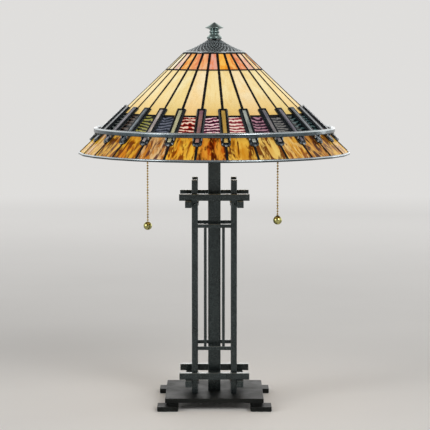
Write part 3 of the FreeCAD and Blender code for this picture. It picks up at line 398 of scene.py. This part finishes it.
class Slab:
    """A flat sheet on the shade's slope, in a frame that faces it: x out, y across, z up."""

    def __init__(self, points, fall=None):
        centre = middle(points)
        self.bearing = bearing(centre)
        self.turn = Matrix.Rotation(math.atan2(centre.y, centre.x), 4, "Z")
        local = [self.turn.inverted() @ point for point in points]
        near = MM / 10
        if fall is None:
            reach = [point.x for point in local]
            low = max(point.z for point in local if point.x > max(reach) - near)
            fall = (max(point.z for point in local) - low) / (max(reach) - min(reach))
        self.fall = fall
        self.slope = math.hypot(1, fall)
        self.out = Vector((fall, 0, 1)) / self.slope
        depths = [point.dot(self.out) for point in local]
        face = [point for point, depth in zip(local, depths) if depth > max(depths) - near]
        self.thick = max(depths) - min(depths)
        self.inner = min(point.x for point in face)
        self.outer = max(point.x for point in face)
        self.top = max(point.z for point in face)
        self.inner_half = max(point.y for point in face if point.x < self.inner + near)
        self.outer_half = max(point.y for point in face if point.x > self.outer - near)

    def height(self, reach):
        return self.top - self.fall * (reach - self.inner)

    def spread(self, across, along):
        """Reach and sideways place of a point, from shares of the width (-1 to 1) and length (0 to 1)."""
        reach = self.inner + (self.outer - self.inner) * along
        return reach, across * (self.inner_half + (self.outer_half - self.inner_half) * along)

    def at(self, across, along, sunk=0.0, upright=False):
        """A point below the face: straight down when upright, and square to the face otherwise."""
        reach, side = self.spread(across, along)
        down = Vector((0, 0, sunk * self.slope)) if upright else self.out * sunk
        return self.turn @ (Vector((reach, side, self.height(reach))) - down)


FALL = Slab(solids("glass_cream_band")[0]).fall
SEAM_FALL = FALL * math.cos(HALF_TURN)


def slabs(node, fall=FALL):
    """A CAD node's sheets with their numbers: 0 is nearest the front, and they count up towards +X."""
    made = [Slab(points, fall) for points in solids(node)]
    front = min(made, key=lambda slab: abs(slab.bearing)).bearing
    for slab in made:
        slab.number = round((slab.bearing - front) / STEP)
    return sorted(made, key=lambda slab: slab.number)


# ---------------------------------------------------------------- making pieces
# How far one sheet's pattern is from the next one's, and how long the lumps in solder are.
SHEET_APART = 0.731
LUMP = 3 * MM


def piece(name, mesh, body, slot, material, *nodes):
    """A finished mesh as a piece of the lamp, in place of CAD nodes."""
    thing = bpy.data.objects.new(name, mesh)
    bpy.context.scene.collection.objects.link(thing)
    mesh.materials.append(material)
    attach(thing, body)
    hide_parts(*nodes)
    return thing


def paint(material, *nodes):
    """Give carried-over CAD nodes a better material."""
    for node in nodes:
        thing = NODES[node]
        if not thing.material_slots:
            thing.data.materials.append(material)
        for slot in thing.material_slots:
            slot.material = material


def chosen(table, number):
    """The tones of a panel that the front shows, and a seeded pick from the same glass elsewhere."""
    rows = table.get(number) if isinstance(table, dict) else None
    if rows is None:
        rows = chance.choice(list(table.values()) if isinstance(table, dict) else table)
    return [tint(*row) for row in rows]


def curve_through(corners, steps):
    """Points on a smooth line through some (x, y) corners."""
    found = []
    for index in range(len(corners) - 1):
        before = corners[max(index - 1, 0)]
        first, second = corners[index], corners[index + 1]
        after = corners[min(index + 2, len(corners) - 1)]
        for step in range(steps):
            t = step / steps
            found.append(tuple(
                0.5 * (2 * b + (c - a) * t + (2 * a - 5 * b + 4 * c - d) * t ** 2
                       + (3 * b - a - 3 * c + d) * t ** 3)
                for a, b, c, d in zip(before, first, second, after)))
    return found + [corners[-1]]


def put(mesh, name, kind, field, values):
    mesh.attributes.new(name, kind, "POINT").data.foreach_set(field, values)


def face_outwards(mesh, join=False):
    """Turn all faces outwards, and where asked join points that meet, as on an axis."""
    form = bmesh.new()
    form.from_mesh(mesh)
    if join:
        bmesh.ops.remove_doubles(form, verts=form.verts, dist=TOUCH)
    bmesh.ops.recalc_face_normals(form, faces=form.faces)
    form.to_mesh(mesh)
    form.free()


def sheets(name, made, grid, depth, relief, table, material, slot, node, upright=False):
    """Flat sheets as closed slabs whose outer faces have relief.

    relief(across, along, number) gives 1 for a point on the CAD surface and 0 for one sunk by the
    depth. The table holds the three tones of each sheet that the front shows.
    """
    columns, rows = grid
    line = columns + 1
    below = line * (rows + 1)
    points, faces, smooth, place, waves, tones = [], [], [], [], [], [[], [], []]
    for slab in made:
        colours = chosen(table, slab.number)
        start = len(points)
        for side in range(2):
            for row in range(rows + 1):
                for column in range(line):
                    across, along = 2 * column / columns - 1, row / rows
                    raised = relief(across, along, slab.number)
                    sunk = (1 - raised) * depth if side == 0 else slab.thick
                    points.append(slab.at(across, along, sunk, upright and side == 1))
                    reach, sideways = slab.spread(across, along)
                    place += (sideways, reach * slab.slope, slab.number * SHEET_APART)
                    waves.append(raised)
                    for store, colour in zip(tones, colours):
                        store += colour
        for row in range(rows):
            for column in range(columns):
                corner = start + row * line + column
                outside = [corner, corner + line, corner + line + 1, corner + 1]
                faces += [outside, [index + below for index in reversed(outside)]]
                smooth += [True, True]
        ring = [start + column for column in range(columns)]
        ring += [start + row * line + columns for row in range(rows)]
        ring += [start + rows * line + column for column in range(columns, 0, -1)]
        ring += [start + row * line for row in range(rows, 0, -1)]
        for first, second in zip(ring, ring[1:] + ring[:1]):
            faces.append([first, second, second + below, first + below])
            smooth.append(False)
    mesh = bpy.data.meshes.new(name)
    mesh.from_pydata(points, [], faces)
    mesh.polygons.foreach_set("use_smooth", smooth)
    put(mesh, "place", "FLOAT_VECTOR", "vector", place)
    put(mesh, "wave", "FLOAT", "value", waves)
    for label, store in zip(TONES, tones):
        put(mesh, label, "FLOAT_COLOR", "color", store)
    piece(name, mesh, "lamp", slot, material, node)


def turned(name, outline, around, body, material, node, depth=0.0, relief=None):
    """A closed outline of (radius, height, share of the relief) points, turned about the lamp's axis."""
    points, faces, wear_and_glint = [], [], []
    count = len(outline)
    for index, (reach, height, share) in enumerate(outline):
        before, after = outline[index - 1], outline[(index + 1) % count]
        along = Vector((after[0] - before[0], after[1] - before[1])).normalized()
        for column in range(around):
            angle = 2 * math.pi * column / around
            raised = relief(angle, reach, height) if relief and share else 1.0
            sunk = (1 - raised) * depth * share
            radius = reach - along.y * sunk
            points.append((radius * math.cos(angle), radius * math.sin(angle), height + along.x * sunk))
            wear_and_glint.append(raised * share)
    for row in range(count):
        upper = (row + 1) % count
        for column in range(around):
            beside = (column + 1) % around
            faces.append((row * around + column, row * around + beside,
                          upper * around + beside, upper * around + column))
    mesh = bpy.data.meshes.new(name)
    mesh.from_pydata(points, [], faces)
    # How raised each point is; the cap's material paints raised points pale, partly as wear and partly as a
    # painted highlight.
    put(mesh, "wear_and_glint", "FLOAT", "value", wear_and_glint)
    mesh.polygons.foreach_set("use_smooth", [True] * len(faces))
    face_outwards(mesh, join=True)
    piece(name, mesh, body, "bronze", material, node)


class Sticks:
    """Rods swept along paths and kept in one mesh. A stop on a path is (centre, out, side)."""

    def __init__(self):
        self.points, self.faces = [], []

    def sweep(self, path, section, loop=False, lumps=0.0):
        start, size = len(self.points), len(section)
        for centre, out, side in path:
            swell = 1 + lumps * noise.noise(centre / LUMP)
            self.points += [centre + side * across * swell + out * above * swell for across, above in section]
        for row in range(len(path) if loop else len(path) - 1):
            after = (row + 1) % len(path)
            for index in range(size):
                beside = (index + 1) % size
                self.faces.append([start + row * size + index, start + row * size + beside,
                                   start + after * size + beside, start + after * size + index])
        if not loop:
            last = start + (len(path) - 1) * size
            self.faces += [list(range(start, start + size))[::-1], list(range(last, last + size))]

    def mesh(self, name):
        mesh = bpy.data.meshes.new(name)
        mesh.from_pydata(self.points, [], self.faces)
        mesh.polygons.foreach_set("use_smooth", [True] * len(self.faces))
        face_outwards(mesh)
        return mesh


# ---------------------------------------------------------------- the shade's glass
# Dark, middle and light tones by panel number, 0 in the middle of the front. Panels that a table
# leaves out, and all cream ones, take a seeded pick from it.
TOP_TONES = {
    -6: ((214, 176, 96), (255, 232, 150), (255, 246, 214)),
    -5: ((236, 190, 110), (255, 236, 168), (255, 250, 226)),
    -4: ((206, 158, 170), (236, 190, 186), (255, 232, 176)),
    -3: ((236, 138, 66), (255, 182, 92), (255, 208, 130)),
    -2: ((230, 132, 92), (246, 166, 104), (255, 196, 140)),
    -1: ((226, 128, 84), (250, 178, 112), (246, 192, 150)),
    0: ((238, 126, 66), (240, 158, 128), (236, 176, 156)),
    1: ((236, 138, 34), (255, 176, 56), (255, 200, 96)),
    2: ((232, 120, 40), (248, 160, 60), (255, 190, 104)),
    3: ((228, 116, 72), (242, 154, 96), (250, 190, 150)),
    4: ((232, 160, 140), (248, 196, 160), (255, 232, 200)),
    5: ((240, 186, 110), (255, 222, 160), (255, 246, 220)),
    6: ((226, 132, 60), (250, 186, 110), (255, 228, 180)),
}
RIPPLE_TONES = {
    -5: ((6, 10, 12), (22, 28, 30), (92, 98, 96)),
    -4: ((12, 10, 10), (44, 30, 24), (84, 70, 60)),
    -3: ((20, 20, 14), (70, 70, 22), (164, 160, 78)),
    -2: ((34, 40, 50), (70, 78, 94), (116, 120, 134)),
    -1: ((84, 10, 6), (214, 44, 26), (255, 232, 206)),
    0: ((30, 6, 18), (180, 62, 112), (252, 226, 222)),
    1: ((128, 34, 48), (232, 122, 122), (255, 238, 220)),
    2: ((40, 20, 34), (104, 58, 82), (196, 146, 160)),
    3: ((40, 40, 44), (78, 78, 82), (136, 134, 128)),
    4: ((6, 10, 12), (18, 34, 36), (70, 92, 92)),
    5: ((6, 12, 14), (16, 40, 42), (84, 108, 108)),
}
AMBER_TONES = {
    -6: ((176, 104, 10), (240, 190, 10), (252, 220, 60)),
    -5: ((180, 116, 30), (226, 196, 168), (240, 190, 50)),
    -4: ((92, 44, 8), (196, 118, 28), (240, 186, 70)),
    -3: ((118, 54, 6), (224, 138, 22), (240, 180, 50)),
    -2: ((92, 52, 48), (206, 130, 40), (240, 200, 140)),
    -1: ((132, 60, 6), (236, 140, 20), (250, 196, 66)),
    0: ((70, 14, 2), (190, 84, 12), (236, 160, 50)),
    1: ((102, 40, 6), (218, 146, 34), (246, 192, 74)),
    2: ((112, 54, 12), (232, 178, 80), (250, 214, 118)),
    3: ((150, 80, 24), (234, 172, 64), (250, 210, 130)),
    4: ((72, 28, 8), (180, 108, 34), (234, 176, 78)),
    5: ((112, 58, 14), (206, 142, 44), (236, 186, 76)),
    6: ((140, 74, 14), (220, 150, 40), (244, 196, 84)),
}
CREAM_TONES = (
    ((240, 200, 112), (255, 226, 156), (255, 240, 190)),
    ((234, 192, 104), (252, 222, 150), (255, 236, 180)),
    ((242, 198, 122), (255, 222, 160), (255, 238, 196)),
    ((230, 196, 108), (250, 224, 154), (255, 240, 188)),
)
# Grey and lilac strip tones are painted reflections of room light, as the strips at the sides show them.
GREY_REFLECTION_STRIP = ((52, 60, 66), (92, 102, 110), (150, 160, 166))
LILAC_REFLECTION_STRIP = ((66, 62, 74), (104, 100, 112), (156, 152, 160))
STRIP_TONES = {
    -6: GREY_REFLECTION_STRIP,
    -5: LILAC_REFLECTION_STRIP,
    -4: GREY_REFLECTION_STRIP,
    -3: ((112, 102, 108), (168, 158, 156), (206, 194, 180)),
    -2: ((112, 112, 92), (172, 168, 132), (204, 200, 160)),
    -1: ((84, 56, 70), (138, 98, 108), (166, 122, 104)),
    0: ((112, 92, 40), (190, 152, 74), (218, 184, 104)),
    1: ((66, 78, 84), (116, 128, 128), (176, 180, 170)),
    2: ((60, 62, 74), (112, 112, 122), (166, 156, 144)),
    3: LILAC_REFLECTION_STRIP,
    4: GREY_REFLECTION_STRIP,
    5: GREY_REFLECTION_STRIP,
    6: LILAC_REFLECTION_STRIP,
}
RIPPLE_WAVES = 5.5


def settle(across, along):
    """Fades relief out towards a panel's edges, where the lead holds the glass."""
    return min(1.0, 4 * min(1 - abs(across), along, 1 - along) + 0.15)


def gentle(across, along, number):
    """Hand-rolled glass is never quite flat."""
    swell = noise.noise(Vector((across * 1.3, along * 3.1, number * 3.7)))
    return 1 - (0.5 + 0.5 * swell) * settle(across, along)


def pebbled(across, along, number):
    """Two sizes of bump, one over the other."""
    coarse = noise.noise(Vector((across * 2.2, along * 4.3, number * 5.1)))
    fine = noise.noise(Vector((across * 5.5, along * 9.0, number * 2.3)))
    return 1 - (0.6 + 0.4 * coarse + 0.2 * fine) * settle(across, along)


def rippled(across, along, number):
    """Waves down the panel, bent and torn by two sizes of noise."""
    sway = noise.noise(Vector((across * 0.9, along * 1.7, number * 4.9)))
    ragged = noise.noise(Vector((across * 3.8, along * 5.0, number * 2.9)))
    return 0.5 + 0.5 * math.sin(2 * math.pi * along * RIPPLE_WAVES + 5.0 * sway + 1.6 * ragged)


def crowned(across, along, number):
    """A strip of glass with its long edges ground down."""
    return 1 - across ** 4


def banded(name, node, grid, depth, relief, table, material):
    """One band of glass, a panel to each facet of the shade."""
    slot = NODES[node].material_slots[0].material.name
    sheets(name, slabs(node), grid, depth, relief, table, material, slot, node, upright=True)


top_glass = swirled_glass("glass_top", across=95.0, along=30.0, veins=0.7, strength=0.76)
amber_glass = swirled_glass("glass_amber", across=70.0, along=22.0, veins=0.95, strength=0.66)
banded("top_panels", "glass_top_band", (6, 14), 0.4 * MM, gentle, TOP_TONES, top_glass)
cream_foot = slabs("glass_cream_band")[0]
banded("cream_panels", "glass_cream_band", (8, 36), 0.4 * MM, gentle, CREAM_TONES,
       cream_glass(cream_foot.outer * cream_foot.slope))
banded("ripple_panels", "glass_ripple_band", (16, 48), 0.9 * MM, rippled, RIPPLE_TONES, ripple_glass())
banded("amber_panels", "glass_amber_band", (16, 20), 0.5 * MM, pebbled, AMBER_TONES, amber_glass)
sheets("bar_strips", slabs("bar_glass_strips", SEAM_FALL), (8, 30), 0.5 * MM, crowned, STRIP_TONES,
       strip_glass(), "glass_strip", "bar_glass_strips")

# ---------------------------------------------------------------- metal
# The up-facing colours are painted highlights; the pale edge colours are partly wear and partly painted edge
# highlights.
bronze = metal("bronze", tint(32, 39, 39), tint(50, 58, 59), tint(140, 152, 152),
               roughness=0.3, metallic=0.85, edge_wear_and_glint=0.35, coat=0.25, painted_top_highlight=tint(124, 132, 131))
plate_bronze = metal("plate_bronze", tint(12, 13, 12), tint(20, 21, 19), tint(84, 92, 90),
                     roughness=0.5, metallic=0.7, edge_wear_and_glint=0.3)
hoop_metal = metal("shade_bronze", tint(36, 47, 52), tint(76, 91, 98), tint(160, 172, 176),
                   roughness=0.3, metallic=0.85, edge_wear_and_glint=0.6, coat=0.25, painted_top_highlight=tint(216, 225, 229))
finial_metal = metal("finial_bronze", tint(44, 62, 60), tint(80, 100, 98), tint(190, 204, 202),
                     roughness=0.18, metallic=0.9, edge_wear_and_glint=0.6, coat=0.4, painted_top_highlight=tint(180, 198, 194))
bar_metal = metal("bar_metal", tint(14, 18, 22), tint(30, 37, 43), tint(140, 152, 160),
                  roughness=0.26, metallic=0.8, edge_wear_and_glint=0.7, coat=0.3)
zinc = metal("steel", tint(120, 122, 124), tint(158, 160, 162), tint(190, 192, 194),
             roughness=0.3, metallic=1.0, edge_wear_and_glint=0.5)
aluminium = metal("aluminium", tint(176, 178, 180), tint(200, 202, 204), tint(226, 228, 230),
                  roughness=0.26, metallic=1.0, edge_wear_and_glint=0.4)
# The cap's pale colour on its raised scales is partly wear and partly a painted highlight.
cast_bronze = embossed("cast_bronze", tint(6, 16, 17), tint(16, 30, 30), tint(222, 232, 236), roughness=0.24)
lead = solder("leading", tint(8, 5, 5), tint(18, 14, 14), roughness=0.5, metallic=0.15)
solder_bright = solder("solder", tint(70, 77, 84), tint(164, 171, 176), roughness=0.22, metallic=0.75)
antique_brass = brass("brass", tint(214, 192, 140), tint(140, 120, 76), roughness=0.2)
knob_brass = brass("knob_brass", tint(196, 192, 128), tint(112, 112, 60), roughness=0.1)
dark_brass = brass("dark_brass", tint(92, 84, 56), tint(46, 48, 34), roughness=0.3)
phenolic = moulded("phenolic", tint(18, 15, 14), tint(36, 30, 27), roughness=0.34)
rubber = moulded("plastic", tint(14, 14, 15), tint(30, 30, 32), roughness=0.5)

paint(plate_bronze, "base_plate", "feet")
paint(bronze, "column", "finial_stud", "post_rivets")
paint(hoop_metal, "shade_top_ring", "shade_wheel")
paint(bar_metal, "shade_bars")
paint(solder_bright, "bar_tips", "hoop_clips")
paint(felt(), "felt_pads")
paint(zinc, "foot_screws", "post_screws", "crossbar_screws", "column_bolt", "hub_locknut", "wheel_nut",
      "stem_pipe", "column_foot_plug", "column_top_plug")
paint(knob_brass, "chain_knob_left", "chain_knob_right")
paint(antique_brass, "pull_chain_left", "pull_chain_right", "socket_caps", "socket_shells", "chain_spouts",
      "screw_shells")
paint(dark_brass, "knob_cone_right", "cluster_hub", "socket_arms")
paint(cardboard(), "socket_liners")
paint(phenolic, "switch_bodies")
paint(aluminium, "bulb_base_left", "bulb_base_right")
paint(frosted_bulb(), "bulb_glass_left", "bulb_glass_right")
paint(rubber, "cord_grommet")

# ---------------------------------------------------------------- lattice
STOCK_CORNER = 0.7 * MM
THIN_CORNER = 0.5 * MM


def rounded_boxes(name, boxes, radius, node):
    """Square stock with its corners rounded over, one closed shell for each box."""
    form = bmesh.new()
    for low, high in boxes:
        made = bmesh.ops.create_cube(form, size=1.0)["verts"]
        centre, sides = (low + high) / 2, high - low
        for vertex in made:
            vertex.co = Vector(a * b for a, b in zip(vertex.co, sides)) + centre
        edges = list({edge for vertex in made for edge in vertex.link_edges})
        bmesh.ops.bevel(form, geom=edges, offset=radius, segments=3, profile=0.5, affect="EDGES")
    mesh = bpy.data.meshes.new(name)
    form.to_mesh(mesh)
    form.free()
    mesh.polygons.foreach_set("use_smooth", [True] * len(mesh.polygons))
    thing = piece(name, mesh, "lamp", "bronze", bronze, node)
    thing.modifiers.new("flat_faces", "WEIGHTED_NORMAL").keep_sharp = True


for level in ("top", "low"):
    for side in ("front", "rear", "left", "right"):
        node = f"crossbar_{level}_{side}"
        rounded_boxes(f"bar_{level}_{side}", [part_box(node)], STOCK_CORNER, node)
for name, node, corner in (("square_posts", "posts", STOCK_CORNER),
                           ("thin_rails", "lattice_rails", THIN_CORNER),
                           ("thin_rods", "lattice_rods", THIN_CORNER)):
    rounded_boxes(name, [extent(points) for points in solids(node)], corner, node)

# ---------------------------------------------------------------- lead and rims
LEAD_PROUD = 0.55 * MM
LEAD_CROWN = 1.0 * MM
SEAM_STOPS = 90
# How wide the solder lies, against the gap between two panels.
SEAM_WIDE = 2.2
RING_WIDE = (1.7, 2.3, 1.7)
TOP_RING_WIDE = 0.8
LEAD_LUMPS = 0.14
TOP_RING_LUMPS = 0.1
RIM_LUMPS = 0.015
BANDS = [slabs(f"glass_{glass}_band")[0] for glass in ("top", "cream", "ripple", "amber")]
LEAD_HALF = (BANDS[1].inner - BANDS[0].outer) / 2
FIRST_SEAM = math.atan2(BANDS[0].turn[1][0], BANDS[0].turn[0][0]) - HALF_TURN


def slope_frame(turn, fall):
    """Directions out of the slope, along it and across it."""
    out = Vector((fall, 0, 1)).normalized()
    return turn @ out, turn @ Vector((out.z, 0, -out.x)), turn @ Vector((0, 1, 0))


def solder_section(half, depth):
    """A solder bead inside and outside, joined through the gap between two panels."""
    turns = [math.pi * turn / 6 for turn in range(7)]
    upper = [(half * math.cos(turn), LEAD_PROUD + LEAD_CROWN * (math.sin(turn) - 1)) for turn in turns]
    return upper + [(-across, -depth - above) for across, above in upper]


def ring_path(reach, height, fall, steps=6):
    """Stops round the many-sided shade, where reach is measured to the middle of a facet."""
    path = []
    for facet in range(FACETS):
        middle_turn = FIRST_SEAM + (2 * facet + 1) * HALF_TURN
        for step in range(steps):
            offset = HALF_TURN * (2 * step / steps - 1)
            where = Vector((reach, reach * math.tan(offset), height))
            frame_turn = Matrix.Rotation(middle_turn + (offset if step == 0 else 0), 4, "Z")
            out, along, _ = slope_frame(frame_turn, fall)
            path.append((Matrix.Rotation(middle_turn, 4, "Z") @ where, out, along))
    return path


def reaches(node):
    """How far each of a CAD node's points is from the lamp's axis."""
    return [math.hypot(vertex.co.x, vertex.co.y) for vertex in NODES[node].data.vertices]


def build_leading():
    """One soldered net: a seam down each corner of the shade, and a ring above and between its bands."""
    sticks = Sticks()
    depth = BANDS[0].thick
    first, last = BANDS[0].inner - LEAD_HALF, BANDS[-1].outer + LEAD_HALF
    for seam in range(FACETS):
        turn = Matrix.Rotation(FIRST_SEAM + 2 * seam * HALF_TURN, 4, "Z")
        out, _, across = slope_frame(turn, SEAM_FALL)
        path = []
        for stop in range(SEAM_STOPS + 1):
            reach = first + (last - first) * stop / SEAM_STOPS
            where = Vector((reach / math.cos(HALF_TURN), 0, BANDS[0].height(reach)))
            path.append((turn @ where, out, across))
        sticks.sweep(path, solder_section(LEAD_HALF * SEAM_WIDE, depth), lumps=LEAD_LUMPS)
    for above, below, wide in zip(BANDS, BANDS[1:], RING_WIDE):
        reach = (above.outer + below.inner) / 2
        path = ring_path(reach, BANDS[0].height(reach), FALL)
        sticks.sweep(path, solder_section(LEAD_HALF * wide, depth), True, LEAD_LUMPS)
    path = ring_path(first, BANDS[0].height(first), FALL)
    sticks.sweep(path, solder_section(LEAD_HALF * TOP_RING_WIDE, depth), True, TOP_RING_LUMPS)
    piece("solder_lines", sticks.mesh("solder_lines"), "lamp", "lead", lead, "shade_leading")


def build_rim():
    """The bead under the shade's lower edge, a little thin so that its lumps stay inside the CAD bead."""
    low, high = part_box("rim_bead")
    radius = (high.z - low.z) / 2
    reach = (max(reaches("rim_bead")) - radius) * math.cos(HALF_TURN)
    thin = radius * (1 - RIM_LUMPS)
    turns = [math.pi * turn / 8 for turn in range(16)]
    path = [(centre, Vector((0, 0, 1)), Vector((centre.x, centre.y, 0)).normalized())
            for centre, *_ in ring_path(reach, (low.z + high.z) / 2, 0.0)]
    sticks = Sticks()
    sticks.sweep(path, [(thin * math.cos(turn), thin * math.sin(turn)) for turn in turns], True, RIM_LUMPS)
    piece("rim_tube", sticks.mesh("rim_tube"), "lamp", "lead", hoop_metal, "rim_bead")


def arc(reach, height, radius, start, end, steps):
    """Points on part of a circle round (reach, height), in degrees from straight out towards up."""
    turns = [math.radians(start + (end - start) * step / steps) for step in range(steps + 1)]
    return [(reach + radius * math.cos(turn), height + radius * math.sin(turn)) for turn in turns]


DENTS_AROUND = 22
DENTS_UP = 400


def hammered(angle, reach, height):
    """Fine dents, all the way round the hoop."""
    where = Vector((math.cos(angle) * DENTS_AROUND, math.sin(angle) * DENTS_AROUND, height * DENTS_UP))
    return 0.7 + 0.3 * noise.noise(where)


def build_hoop():
    """The hoop round the bars, its section well rounded above and a little below."""
    low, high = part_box("shade_hoop")
    near, far = min(reaches("shade_hoop")), high.x
    crown, foot = 2.6 * MM, 0.9 * MM
    outline = arc(far - foot, low.z + foot, foot, -90, 0, 3)
    outline += arc(far - crown, high.z - crown, crown, 0, 90, 6)
    outline += arc(near + crown, high.z - crown, crown, 90, 180, 6)
    outline += arc(near + foot, low.z + foot, foot, 180, 270, 3)
    turned("round_hoop", [(reach, height, 1.0) for reach, height in outline], 280, "lamp", hoop_metal,
           "shade_hoop", depth=0.3 * MM, relief=hammered)


SCALES_AROUND = 34
SCALE_ROWS = 9
SCALE_STEPS = 12
SCALE_LONG = 0.62
BRIM_ROWS = 0.5
SCALES_END = 0.97
RIDGE_PLACE = 0.4
RIDGE_WIDE = 0.13
CAP_SWEEP = 150 * MM


def build_cap():
    """A spun cap, embossed with overlapping scales between its brim and its neck."""
    low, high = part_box("cap")
    brim, neck, shoulder = high.x, 10.9 * MM, 10.1 * MM
    brim_high, thick, hole = 1.0 * MM, 1.5 * MM, 3.4 * MM
    neck_z = high.z - 1.2 * MM
    foot, top = Vector((brim, low.z + brim_high)), Vector((neck, neck_z))
    rise = top - foot
    sag = rise.length_squared / (8 * CAP_SWEEP)
    inwards = Vector((-rise.y, rise.x)).normalized()

    def wall(share):
        """A point on the cap's swept side, from 0 at the brim to 1 at the neck."""
        return foot.lerp(top, share) + inwards * sag * 4 * share * (1 - share)

    outline = [(brim - 2.4 * MM, low.z, 0.0), (brim - 0.3 * MM, low.z, 0.0), (brim, low.z + 0.3 * MM, 0.0)]
    steps = SCALE_ROWS * SCALE_STEPS
    for step in range(steps + 1):
        point = wall(step / steps)
        outline.append((*point, 1.0 if step / steps < SCALES_END else 0.0))
    outline += [(shoulder, high.z, 0.0), (hole, high.z, 0.0), (hole, high.z - thick, 0.0)]
    for step in range(SCALE_STEPS, 0, -1):
        point = wall(step / SCALE_STEPS)
        outline.append((point.x - 0.4 * thick, point.y - 1.1 * thick, 0.0))

    def scales(angle, reach, height):
        along = (foot - Vector((reach, height))).length / rise.length * SCALE_ROWS
        row = math.floor(along)
        across = angle / (2 * math.pi) * SCALES_AROUND + 0.5 * (row % 2)
        across -= round(across)
        ridge = math.hypot(across, (along - row) * SCALE_LONG)
        return 1.0 if along < BRIM_ROWS else math.exp(-((ridge - RIDGE_PLACE) / RIDGE_WIDE) ** 2)

    turned("scaled_cap", outline, SCALES_AROUND * SCALE_STEPS, "lamp", cast_bronze, "cap",
           depth=0.7 * MM, relief=scales)


# (radius, height) in millimetres: the finial's side from its foot to its tip, and its threaded bore.
FINIAL_SIDE = (
    (3.1, 0.0), (10.4, 0.0), (11.5, 0.4), (11.9, 1.3), (11.9, 2.7), (11.4, 3.7), (10.2, 4.7), (9.0, 5.8),
    (8.1, 7.0), (7.1, 8.0), (6.8, 8.5), (7.3, 9.2), (7.9, 10.0), (8.1, 10.9), (7.9, 11.8), (7.1, 12.6),
    (6.7, 13.1), (7.1, 13.9), (8.3, 14.9), (10.6, 15.8), (13.0, 16.5), (14.3, 16.9), (14.6, 17.4),
    (14.2, 18.0), (12.4, 19.0), (9.4, 20.7), (6.2, 22.5), (3.2, 24.2), (1.3, 25.3), (0.0, 25.7),
)
FINIAL_BORE = ((0.0, 18.5), (3.1, 18.0))


def build_finial():
    """A turned knob: a collar, a ring between two grooves, and a disc with a low cone."""
    low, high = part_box("finial")
    outline = curve_through(FINIAL_SIDE, 4) + list(FINIAL_BORE)
    outline = [(max(reach, 0.0) * MM, min(low.z + height * MM, high.z), 0.0) for reach, height in outline]
    turned("turned_finial", outline, 96, "finial_knob", finial_metal, "finial")


build_leading()
build_rim()
build_hoop()
build_cap()
build_finial()

# ---------------------------------------------------------------- floor, light and camera
FLOOR_RADIUS = 14.0
BACKDROP = (0.74, 0.73, 0.715, 1.0)
WALL = ((0.0, 0.77), (0.05, 0.77), (0.2, 1.0), (0.5, 0.96), (0.78, 0.08), (1.0, 0.04))
WALL_LEVEL = 1.3
DARK_ROOM = ((0.0, 1.0), (0.74, 1.0), (0.92, 0.25))
LIGHTS_AIM = (0, 0, 0.3)
CAMERA_PLACE = (0.001, -2.767, 0.5705)
CAMERA_PITCH = 84.27
LENS = 149.68


def build_floor():
    """A pale floor whose far edge melts into the background."""
    recipe = Recipe("floor", Roughness=0.7)
    spot = recipe.spot()
    cloud = recipe.noise(spot, 1.6, 4.0)
    recipe.set(Base_Color=recipe.ramp(cloud, (0.3, tint(232, 230, 227)), (0.7, tint(239, 237, 234))))
    far = recipe.add("VectorMath", {0: spot}, operation="LENGTH").outputs["Value"]
    share = recipe.ramp(recipe.math("DIVIDE", far, FLOOR_RADIUS), (0.04, 0.0), (0.26, 1.0))
    haze = recipe.add("Emission", {"Color": BACKDROP, "Strength": 1.0}).outputs[0]
    blend = recipe.add("MixShader", {0: share, 1: recipe.shader.outputs[0], 2: haze})
    output = recipe.tree.nodes["Material Output"]
    recipe.tree.links.new(blend.outputs[0], output.inputs["Surface"])
    form = bmesh.new()
    bmesh.ops.create_circle(form, cap_ends=True, radius=FLOOR_RADIUS, segments=96)
    mesh = bpy.data.meshes.new("floor")
    form.to_mesh(mesh)
    form.free()
    mesh.materials.append(recipe.material)
    floor = bpy.data.objects.new("floor", mesh)
    bpy.context.scene.collection.objects.link(floor)


def build_world():
    """A pale wall under a dark ceiling, with a dark room behind the camera for the metal to mirror."""
    world = bpy.data.worlds.new("studio")
    world.use_nodes = True
    graph = Graph(world.node_tree)
    way = graph.add("TexCoord").outputs["Generated"]
    wall = graph.ramp(graph.part(way, "Z"), *WALL)
    room = graph.ramp(graph.math("MULTIPLY", graph.part(way, "Y"), -1.0), *DARK_ROOM)
    colour = [channel * WALL_LEVEL for channel in BACKDROP[:3]]
    tinted = graph.vector("MULTIPLY", graph.vector("MULTIPLY", wall, room), colour)
    graph.feed(world.node_tree.nodes["Background"], "Color", tinted)
    bpy.context.scene.world = world


def softbox(name, where, size, watts, camera_sees=True):
    """A rectangular area light, aimed at the lamp."""
    light = bpy.data.lights.new(name, "AREA")
    light.shape = "RECTANGLE"
    light.size, light.size_y = size
    light.energy = watts
    lamp = bpy.data.objects.new(name, light)
    lamp.location = where
    lamp.visible_camera = camera_sees
    lamp.rotation_euler = (Vector(LIGHTS_AIM) - Vector(where)).to_track_quat("-Z", "Y").to_euler()
    bpy.context.scene.collection.objects.link(lamp)


def build_camera():
    """A long lens, level with the lamp's top and looking a little down."""
    camera = bpy.data.objects.new("camera", bpy.data.cameras.new("camera"))
    camera.data.lens = LENS
    camera.location = CAMERA_PLACE
    camera.rotation_euler = (math.radians(CAMERA_PITCH), 0, 0)
    bpy.context.scene.collection.objects.link(camera)
    bpy.context.scene.camera = camera


build_world()
build_floor()
softbox("key", (1.3, -1.9, 1.7), (1.0, 1.2), 24.0)
softbox("fill", (-1.9, -1.3, 1.1), (0.8, 1.4), 15.0)
softbox("low_back", (0.4, 2.9, 0.6), (3.0, 0.34), 5.0, camera_sees=False)
softbox("side", (2.2, 1.4, 0.5), (0.4, 0.9), 5.0)
build_camera()
bpy.context.scene.view_settings.view_transform = "Standard"
